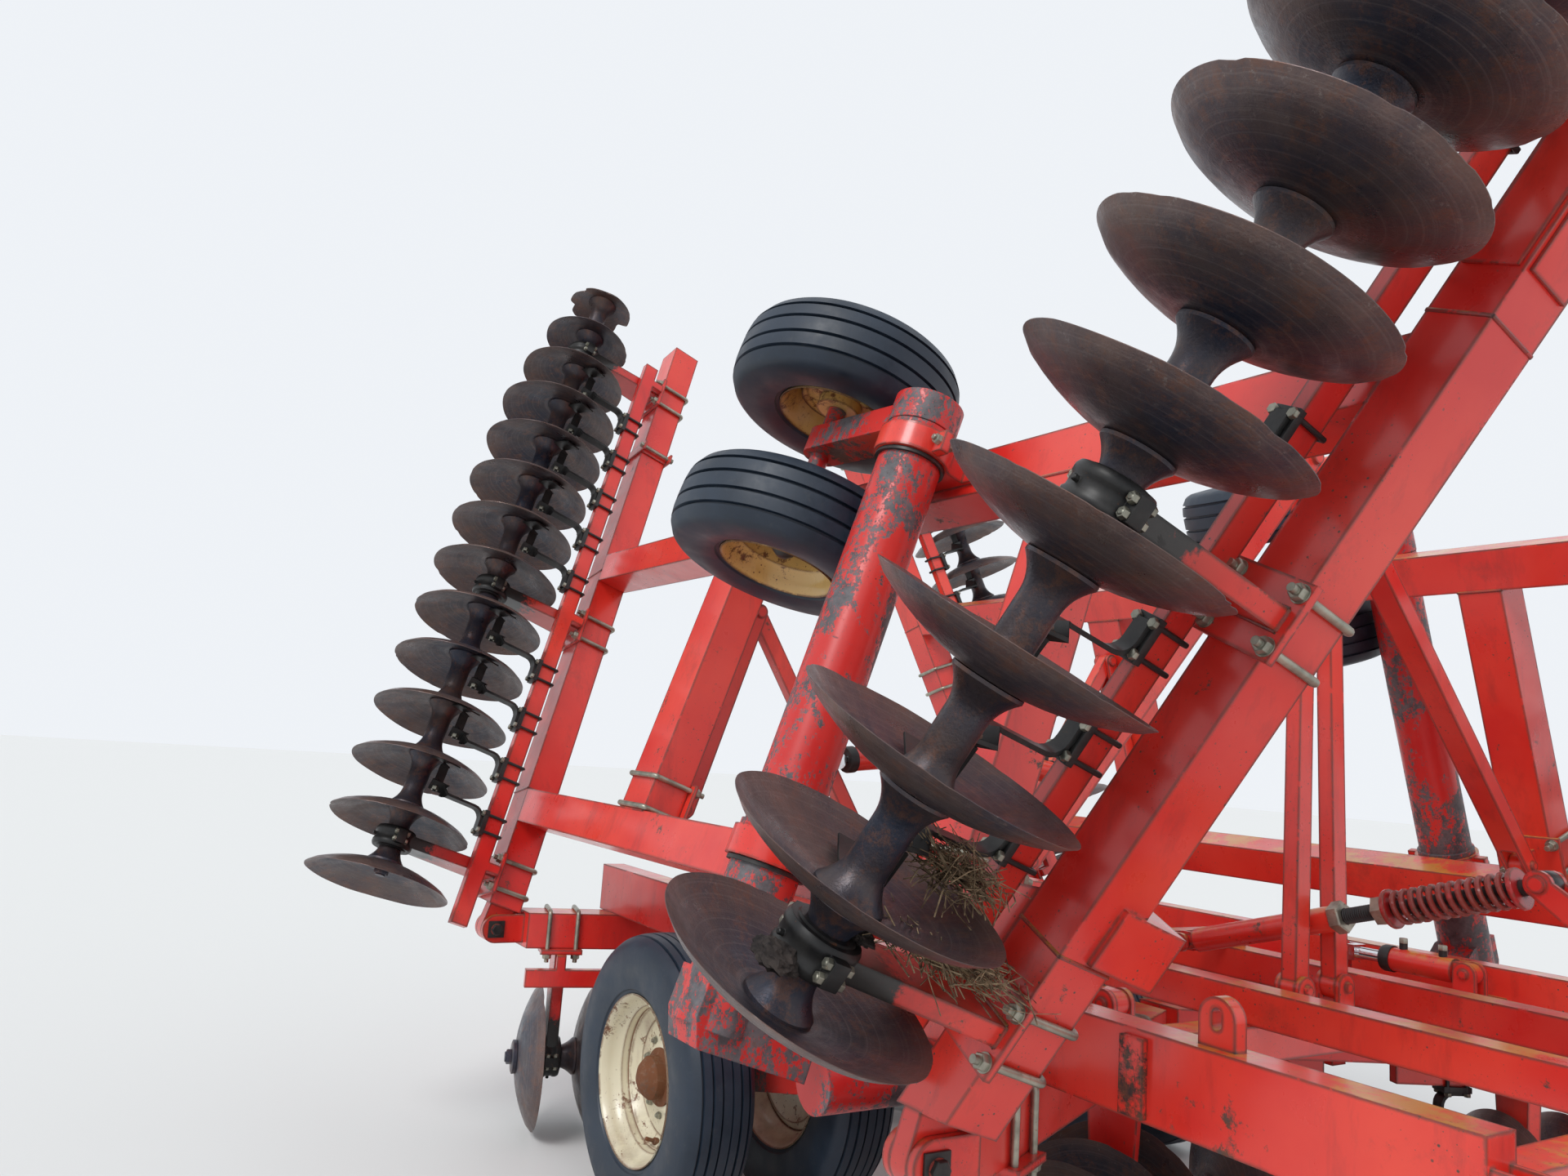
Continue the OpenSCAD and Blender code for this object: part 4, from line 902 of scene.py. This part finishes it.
def wheel_fittings(steel, rusty, place, size, disc, nuts, ring):
    """Nuts on their circle, the hub cap and the valve."""
    hub = size["hub"]
    for k in range(nuts):
        a = 2 * math.pi * k / nuts
        steel.bolt((ring * math.cos(a), ring * math.sin(a), disc + 0.011), (0, 0, 1), 0.014, place, 0.006)
    cap = hub * 0.70
    rusty.turned([(0, disc), (hub * 0.92, disc), (hub * 0.92, disc + 0.030), (cap, disc + 0.036),
                  (cap * 0.98, disc + 0.070), (cap * 0.72, disc + 0.094), (cap * 0.34, disc + 0.110),
                  (0, disc + 0.113)], place, 40)
    k = size["rim"] / 2
    rusty.rod((k - 0.060, 0, disc + 0.020), (k - 0.075, 0, disc + 0.062), 0.007, place, 10)
    rusty.rod((k - 0.058, 0, disc + 0.012), (k - 0.063, 0, disc + 0.030), 0.013, place, 10)


def wheels(label, body, frame_at, places, axle_at, size, looks, slot, ribs, disc, nuts, ring):
    tread = Piece(label + "_ribbed_tyres", body, RUBBER, "tyre", (label + "_tyres",), 30)
    metal = Piece(label + "_dished_rims", body, looks[0], slot, (label + "_rims",))
    steel = Piece(label + "_wheel_nuts", body, BOLT, "black_steel")
    rusty = Piece(label + "_hub_caps", body, looks[1], "black_steel")
    for x, out in places:
        place = frame_at @ Matrix.Translation((x, *axle_at)) @ Matrix.Rotation(out * math.pi / 2, 4, "Y")
        tyre(tread, place, size, *ribs)
        dished_rim(metal, place, size, disc)
        wheel_fittings(steel, rusty, place, size, disc, nuts, ring)
    finish(tread, metal, steel, rusty)


WING_RIBS = ((-0.60, -0.22, 0.22, 0.60), 0.012, 0.012)
CENTRE_RIBS = ((-0.66, -0.40, -0.13, 0.13, 0.40, 0.66), 0.010, 0.011)
WING_DISC = {"disc": -0.040, "nuts": 6, "ring": 0.094}
CENTRE_DISC = {"disc": -0.020, "nuts": 10, "ring": 0.135}
for side_name, side in SIDES.items():
    wheels(side_name, f"{side_name}_wheels", wing_frame(side), WING_WHEELS, WING_AXLE, WING_TYRE,
           (YELLOW, BLACK), "yellow_rim", WING_RIBS, **WING_DISC)
    wheels(f"centre_{side_name}", f"centre_{side_name}_wheels", side_frame(side), CENTRE_WHEELS,
           (CENTRE_AXLE_Y, CENTRE_TYRE["d"] / 2 - HINGE_Z), CENTRE_TYRE, (CREAM, RUSTY), "cream_rim",
           CENTRE_RIBS, **CENTRE_DISC)


# Frame fittings: welds, doubling plates, U-bolts at the fold lugs, keepers on the fold pins
WING_RAILS = (0.540, 1.800)
RAIL_OUTER = -0.500
CENTRE_TUBE = 0.102
CENTRE_TUBE_Y = (0.130, 1.150, 2.560)
UNDER_T = 0.014
DOUBLER_T = 0.008
DOUBLER_INSET = 0.012
DOUBLER_FROM = 2.200
BEAM_WELDS = {"front": (0.570, 2.090), "rear": (0.620, 1.820)}
REAR_COLLAR = 2.620
COLLAR_HALF = 0.028
EAR_FACE = 0.0553
KEEPER_T = 0.008


def clamped_lug(metal, red, place, x, half_y):
    """A plate under a fold lug, held to its tube by two U-bolts; the place's z points away from the lug."""
    low = -BEAM / 2
    red.box((x - 0.085, x + 0.085), (-half_y - 0.036, half_y + 0.036), (low - UNDER_T, low), place, 0.003)
    for side in (-0.060, 0.060):
        u_bolt(metal, x + side, half_y, BEAM / 2, -BEAM / 2 - 0.055, place, -BEAM / 2 - UNDER_T)


def collar(metal, red, place, s):
    """Two plates drawn together round a gang beam by four bolts."""
    half = BEAM / 2
    x = (s - COLLAR_HALF, s + COLLAR_HALF)
    for way in (-1, 1):
        z = sorted((way * half, way * (half + 0.012)))
        red.box(x, (-half - 0.046, half + 0.046), z, place, 0.003)
        y = sorted((way * half, way * (half + 0.010)))
        red.box(x, y, (-half, half), place, 0.003)
        bolt_y = way * (half + 0.026)
        metal.rod((s, bolt_y, -half - 0.030), (s, bolt_y, half + 0.030), 0.009, place)
        for end in (-1, 1):
            metal.hexagon((s, bolt_y, end * (half + 0.012)), (0, 0, end), 0.028, 0.016, place)


def sleeve_ears(metal, red, dark, place, x):
    """Bolted ears of a rockshaft sleeve, and the wear ring beside it."""
    at = place @ Matrix.Translation((x, ROCK_Y, -WING_ROCK_DROP))
    for way in (-1, 1):
        span = sorted((way * 0.108, way * 0.158))
        red.box((-0.034, 0.034), span, (-0.016, 0.016), at, 0.004)
        metal.rod((0, way * 0.138, -0.042), (0, way * 0.138, 0.042), 0.009, at)
        for end in (-1, 1):
            metal.hexagon((0, way * 0.138, end * 0.016), (0, 0, end), 0.030, 0.016, at)
    ring = at @ Matrix.Rotation(math.pi / 2, 4, "Y")
    r = WING_ROCK_R + 0.001
    dark.turned([(r, -0.053), (r + 0.010, -0.053), (r + 0.010, -0.042), (r, -0.042)], ring, 48, True)


for side_name, side in SIDES.items():
    wing = wing_frame(side)
    body = f"{side_name}_wing"
    metal = Piece(body + "_lug_bolts", body, BOLT, "black_steel")
    red = Piece(body + "_plates_and_welds", body, RED, "red_paint")
    dark = Piece(body + "_wear_rings", body, BLACK, "black_steel")
    for y, deep, lug_x in CROSS_TUBES.values():
        turned = wing @ Matrix.Translation((0, y, 0)) @ Matrix.Rotation(math.pi, 4, "X")
        clamped_lug(metal, red, turned, lug_x, deep / 2)
        for x in WING_RAILS:
            end = x + BEAM / 2 if x == WING_RAILS[0] else x - BEAM / 2
            red.weld_ring(end, deep / 2, BEAM / 2, turned)
    front = wing @ row_frame("front")
    for s in BEAM_WELDS["front"]:
        red.weld_ring(s, BEAM / 2, BEAM / 2, front)
    across = (-BEAM / 2 + DOUBLER_INSET, BEAM / 2 - DOUBLER_INSET)
    thick = (-BEAM / 2 - DOUBLER_T, -BEAM / 2)
    red.box((DOUBLER_FROM, 3.320), across, thick, front, 0.002)
    red.box((DOUBLER_FROM, 2.540), thick, across, front, 0.002)
    rear = wing @ row_frame("rear")
    collar(metal, red, rear, REAR_COLLAR)
    for s in BEAM_WELDS["rear"]:
        red.weld_ring(s, BEAM / 2, BEAM / 2, rear)
    for x in WING_RAILS:
        sleeve_ears(metal, red, dark, wing, x)
    finish(metal, red, dark)

frame_metal = Piece("frame_bolt_heads", "frame", BOLT, "black_steel")
frame_dark = Piece("frame_keepers", "frame", BLACK, "black_steel")
frame_worn = Piece("frame_wear_plates", "frame", WORN, "red_paint")
frame_red = Piece("frame_plates_and_welds", "frame", RED, "red_paint")
for side in SIDES.values():
    base = side_frame(side)
    for row in ROW_Y:
        at = base @ Matrix.Translation((0, ROW_Y[row], 0))
        for way in (-1, 1):
            span = sorted((way * EAR_FACE, way * (EAR_FACE + KEEPER_T)))
            frame_dark.box((-0.036, 0.036), span, (-0.036, 0.036), at, 0.003)
            frame_dark.hexagon((0, way * (EAR_FACE + KEEPER_T), 0), (0, way, 0), 0.044, 0.018, at)
    frame_worn.box((RAIL_OUTER - 0.001, RAIL_OUTER + 0.018), (-0.190, -0.120), (0.085, 0.262), base, 0.003)
    half = CENTRE_TUBE / 2
    for y in CENTRE_TUBE_Y:
        across = base @ Matrix.Translation((0, y, BEAM / 2 + half)) @ Matrix.Rotation(math.pi, 4, "X")
        frame_red.weld_ring(RAIL_OUTER - CENTRE_TUBE, half, half, across, 0.004)


# Rams with gland rings and ports, and the levelling rod with its thread, nuts and spring
def from_to(a, b, y):
    """A frame with x from a to b, both (x, z), in the plane y."""
    turn = -math.atan2(b[1] - a[1], b[0] - a[0])
    return Matrix.Translation((a[0], y, a[1])) @ Matrix.Rotation(turn, 4, "Y")


def ram_trim(dark, metal, place, long, r, port):
    axis = place @ Matrix.Rotation(math.pi / 2, 4, "Y")
    dark.turned([(r - 0.002, long - 0.036), (r + 0.005, long - 0.036), (r + 0.005, long - 0.006),
                 (r + 0.001, long + 0.003), (ROD_R + 0.002, long + 0.003), (ROD_R + 0.002, long - 0.002),
                 (r - 0.002, long - 0.002)], axis, 40, True)
    for x in (port, long - 0.070):
        dark.rod((x, 0, r - 0.006), (x, 0, r + 0.022), 0.014, place)
        metal.hexagon((x, 0, r + 0.020), (0, 0, 1), 0.028, 0.018, place)


ROD_R = 0.022
FOLD_RAM = {"long": 0.540, "r": 0.050, "port": 0.190}
LIFT_RAM = {"long": 0.300, "r": 0.042, "port": 0.090}
REAR_LINK_Y = CROSS_TUBES["rear"][0]
RAM_Y = REAR_LINK_Y - 0.095
RAM_BASE = (-HALF_W + 0.060, 0.900)
REAR_BASE = (-HALF_W + 0.315, 0.330)
REAR_APEX = (-HALF_W + 1.014, 1.406)
RAM_HOLD = 0.600
LIFT_AT = (-0.740, 0.130, 0.260)
arm_long = math.dist(REAR_BASE, REAR_APEX)
RAM_TIP = tuple(a + (b - a) * RAM_HOLD / arm_long for a, b in zip(REAR_BASE, REAR_APEX))
for side_name, side in SIDES.items():
    body = f"{side_name}_fold_barrel"
    dark = Piece(body + "_gland", body, BLACK, "black_steel")
    metal = Piece(body + "_ports", body, BOLT, "black_steel")
    ram_trim(dark, metal, side_frame(side) @ from_to(RAM_BASE, RAM_TIP, RAM_Y), **FOLD_RAM)
    finish(dark, metal)
    lift = side_frame(side) @ Matrix.Translation(LIFT_AT) @ Matrix.Rotation(math.pi / 2, 4, "Z")
    ram_trim(frame_dark, frame_metal, lift, **LIFT_RAM)
finish(frame_metal, frame_dark, frame_red, frame_worn)

LEVEL_RUN = (1.120, 0.340)
LEVEL_LONG = math.hypot(*LEVEL_RUN)
LEVEL_TUBE = 0.560
LEVEL_SEAT = Vector((0, Y_FRONT + 0.600, HINGE_Z + 0.310))
LEVEL_NUT = 0.700
THREADS = 26
THREAD_PITCH = 0.007
SPRING_SPAN = (0.752, 1.098)
SPRING_R = 0.042
SPRING_TURNS = 12
TURN_STEPS = 18
COIL_R = 0.0085


def levelling_rod():
    place = Matrix.Translation(LEVEL_SEAT) @ Matrix.Rotation(-math.pi / 2, 4, "Z")
    place = place @ Matrix.Rotation(-math.atan2(LEVEL_RUN[1], LEVEL_RUN[0]), 4, "Y")
    axis = place @ Matrix.Rotation(math.pi / 2, 4, "Y")
    dark = Piece("threaded_levelling_rod", "levelling_screw", BLACK, "black_steel", ("levelling_screw",))
    section = [(0, 0.330), (0.0215, 0.330), (0.0215, LEVEL_TUBE)]
    for k in range(THREADS):
        z = LEVEL_TUBE + 0.004 + k * THREAD_PITCH
        section += [(0.0235, z), (0.0205, z + THREAD_PITCH / 2)]
    dark.turned(section + [(0.0215, 0.750), (0.0215, LEVEL_LONG - 0.026), (0, LEVEL_LONG - 0.026)], axis, 32)
    eye = place @ Matrix.Translation((LEVEL_LONG, 0.025, 0)) @ Matrix.Rotation(math.pi / 2, 4, "X")
    dark.turned([(0, 0), (0.034, 0), (0.036, 0.003), (0.036, 0.047), (0.034, 0.050), (0, 0.050)], eye, 40)
    steel = Piece("levelling_nuts", "levelling_screw", BOLT, "black_steel")
    steel.hexagon((LEVEL_NUT, 0, 0), (1, 0, 0), 0.076, 0.036, place)
    finish(dark, steel)
    red = Piece("levelling_spring", "levelling_screw", SPRING, "red_paint")
    for x in (SPRING_SPAN[0] - 0.014, SPRING_SPAN[1]):
        red.turned([(0.022, x), (0.054, x), (0.056, x + 0.003), (0.056, x + 0.011), (0.054, x + 0.014),
                    (0.022, x + 0.014)], axis, 40, True)
    low, high = SPRING_SPAN[0] + COIL_R, SPRING_SPAN[1] - COIL_R
    steps = SPRING_TURNS * TURN_STEPS
    points = []
    for k in range(steps + 1):
        a = 2 * math.pi * k / TURN_STEPS
        points.append((low + (high - low) * k / steps, SPRING_R * math.cos(a), SPRING_R * math.sin(a)))
    red.tube(points, COIL_R, place, 8)
    lock = Piece("levelling_lock_nut", "levelling_tube", BOLT, "black_steel")
    lock.turned([(0.0255, LEVEL_TUBE + 0.001), (0.0480, LEVEL_TUBE + 0.001), (0.0480, LEVEL_TUBE + 0.032),
                 (0.0440, LEVEL_TUBE + 0.0365), (0.0255, LEVEL_TUBE + 0.0365)], axis, 6, True)
    finish(red, lock)


levelling_rod()


JACK_TOP = Vector((0, Y_FRONT - 3.000, 0.840))


def jack_crank():
    dark = Piece("jack_crank", "tongue", BLACK, "black_steel")
    at = Matrix.Translation(JACK_TOP)
    dark.box((-0.046, 0.046), (-0.046, 0.046), (0, 0.070), at, 0.010)
    dark.rod((0.040, 0, 0.036), (0.112, 0, 0.036), 0.011, at)
    dark.box((0.100, 0.112), (-0.014, 0.014), (-0.150, 0.052), at, 0.003)
    dark.rod((0.106, 0, -0.136), (0.212, 0, -0.136), 0.014, at)
    dark.done()


jack_crank()


# Straw and mud caught round the near wing's first bearing
def straw_bundle(piece, place, centre, spread, count, rng):
    centre = Vector(centre)
    for _ in range(count):
        at = centre + Vector([rng.gauss(0, half) for half in spread])
        lean = Vector((rng.gauss(0, 0.28), rng.gauss(0, 1.0), rng.gauss(0, 0.8))).normalized()
        half = lean * rng.uniform(0.025, 0.085)
        sag = Vector((rng.gauss(0, 0.006), rng.gauss(0, 0.008), rng.gauss(0, 0.008)))
        piece.tube([at - half, at + sag, at + half], rng.uniform(0.0008, 0.0017), place, 4)


def mud_lump(piece, place, centre, size, seed):
    made = bmesh.ops.create_icosphere(piece.mesh, subdivisions=4, radius=1)
    for vert in made["verts"]:
        out = vert.co.normalized()
        grow = 1 + 0.35 * noise.fractal(out * 1.7 + Vector((seed, 0, 0)), 0.8, 2.0, 6)
        vert.co = place @ (Vector(centre) + Vector([out[k] * size[k] * grow for k in range(3)]))


LITTER_SEED = 11
STRAW_AT = [((0.466, -0.030, -0.300), (0.010, 0.045, 0.085), 480),
            ((0.610, 0.025, -0.330), (0.020, 0.034, 0.045), 280),
            ((1.545, 0.020, -0.500), (0.010, 0.035, 0.020), 60)]
MUD_AT = [((0.340, -0.050, -0.652), (0.026, 0.050, 0.042), 3),
          ((0.420, 0.010, -0.470), (0.016, 0.045, 0.030), 8)]
near_front = wing_frame(SIDES["right"]) @ row_frame("front")
litter = Piece("caught_straw", "right_wing", STRAW, None)
litter_rng = random.Random(LITTER_SEED)
for centre, spread, count in STRAW_AT:
    straw_bundle(litter, near_front, centre, spread, count, litter_rng)
dirt = Piece("caught_mud", "right_wing", MUD, None)
for centre, size, seed in MUD_AT:
    mud_lump(dirt, near_front, centre, size, seed)
finish(litter, dirt)


# Floor and light
SUN_FROM = Vector((-0.62, -0.34, 0.71))
SUN_LEVEL = 1.5
SUN_ANGLE = math.radians(22)
SKY_LIGHT = (rgb(0.92, 0.96, 1.0), 0.90)
SKY_SEEN = (rgb(0.86, 0.89, 0.93), 1.0)
FLOOR_GREY = rgb(0.70, 0.70, 0.69)
FLOOR_HALF = 60
FLOOR_LOW = 0.002


def stage_and_light():
    g = Graph("pale_floor")
    floor_look = g.finish(FLOOR_GREY, 0.9)
    mesh = bmesh.new()
    bmesh.ops.create_grid(mesh, x_segments=1, y_segments=1, size=FLOOR_HALF)
    data = bpy.data.meshes.new("floor")
    mesh.to_mesh(data)
    mesh.free()
    data.materials.append(floor_look)
    floor = bpy.data.objects.new("floor", data)
    floor.location = (0, 0, -FLOOR_LOW)
    scene.collection.objects.link(floor)
    world = bpy.data.worlds.new("studio")
    scene.world = world
    world.use_nodes = True
    tree = world.node_tree
    tree.nodes.clear()
    output = tree.nodes.new("ShaderNodeOutputWorld")
    light, seen = (tree.nodes.new("ShaderNodeBackground") for _ in range(2))
    for background, values in ((light, SKY_LIGHT), (seen, SKY_SEEN)):
        for socket, value in zip(background.inputs, values):
            socket.default_value = value
    path = tree.nodes.new("ShaderNodeLightPath")
    direct = path.outputs["Is Camera Ray"]
    for name in ("Is Glossy Ray", "Is Transmission Ray"):
        either = tree.nodes.new("ShaderNodeMath")
        either.operation = "MAXIMUM"
        tree.links.new(direct, either.inputs[0])
        tree.links.new(path.outputs[name], either.inputs[1])
        direct = either.outputs[0]
    mix = tree.nodes.new("ShaderNodeMixShader")
    tree.links.new(direct, mix.inputs[0])
    tree.links.new(light.outputs[0], mix.inputs[1])
    tree.links.new(seen.outputs[0], mix.inputs[2])
    tree.links.new(mix.outputs[0], output.inputs[0])
    sun_data = bpy.data.lights.new("soft_key", "SUN")
    sun_data.energy = SUN_LEVEL
    sun_data.angle = SUN_ANGLE
    sun = bpy.data.objects.new("soft_key", sun_data)
    sun.rotation_euler = SUN_FROM.to_track_quat("Z", "Y").to_euler()
    scene.collection.objects.link(sun)


stage_and_light()
scene.view_settings.view_transform = "Standard"
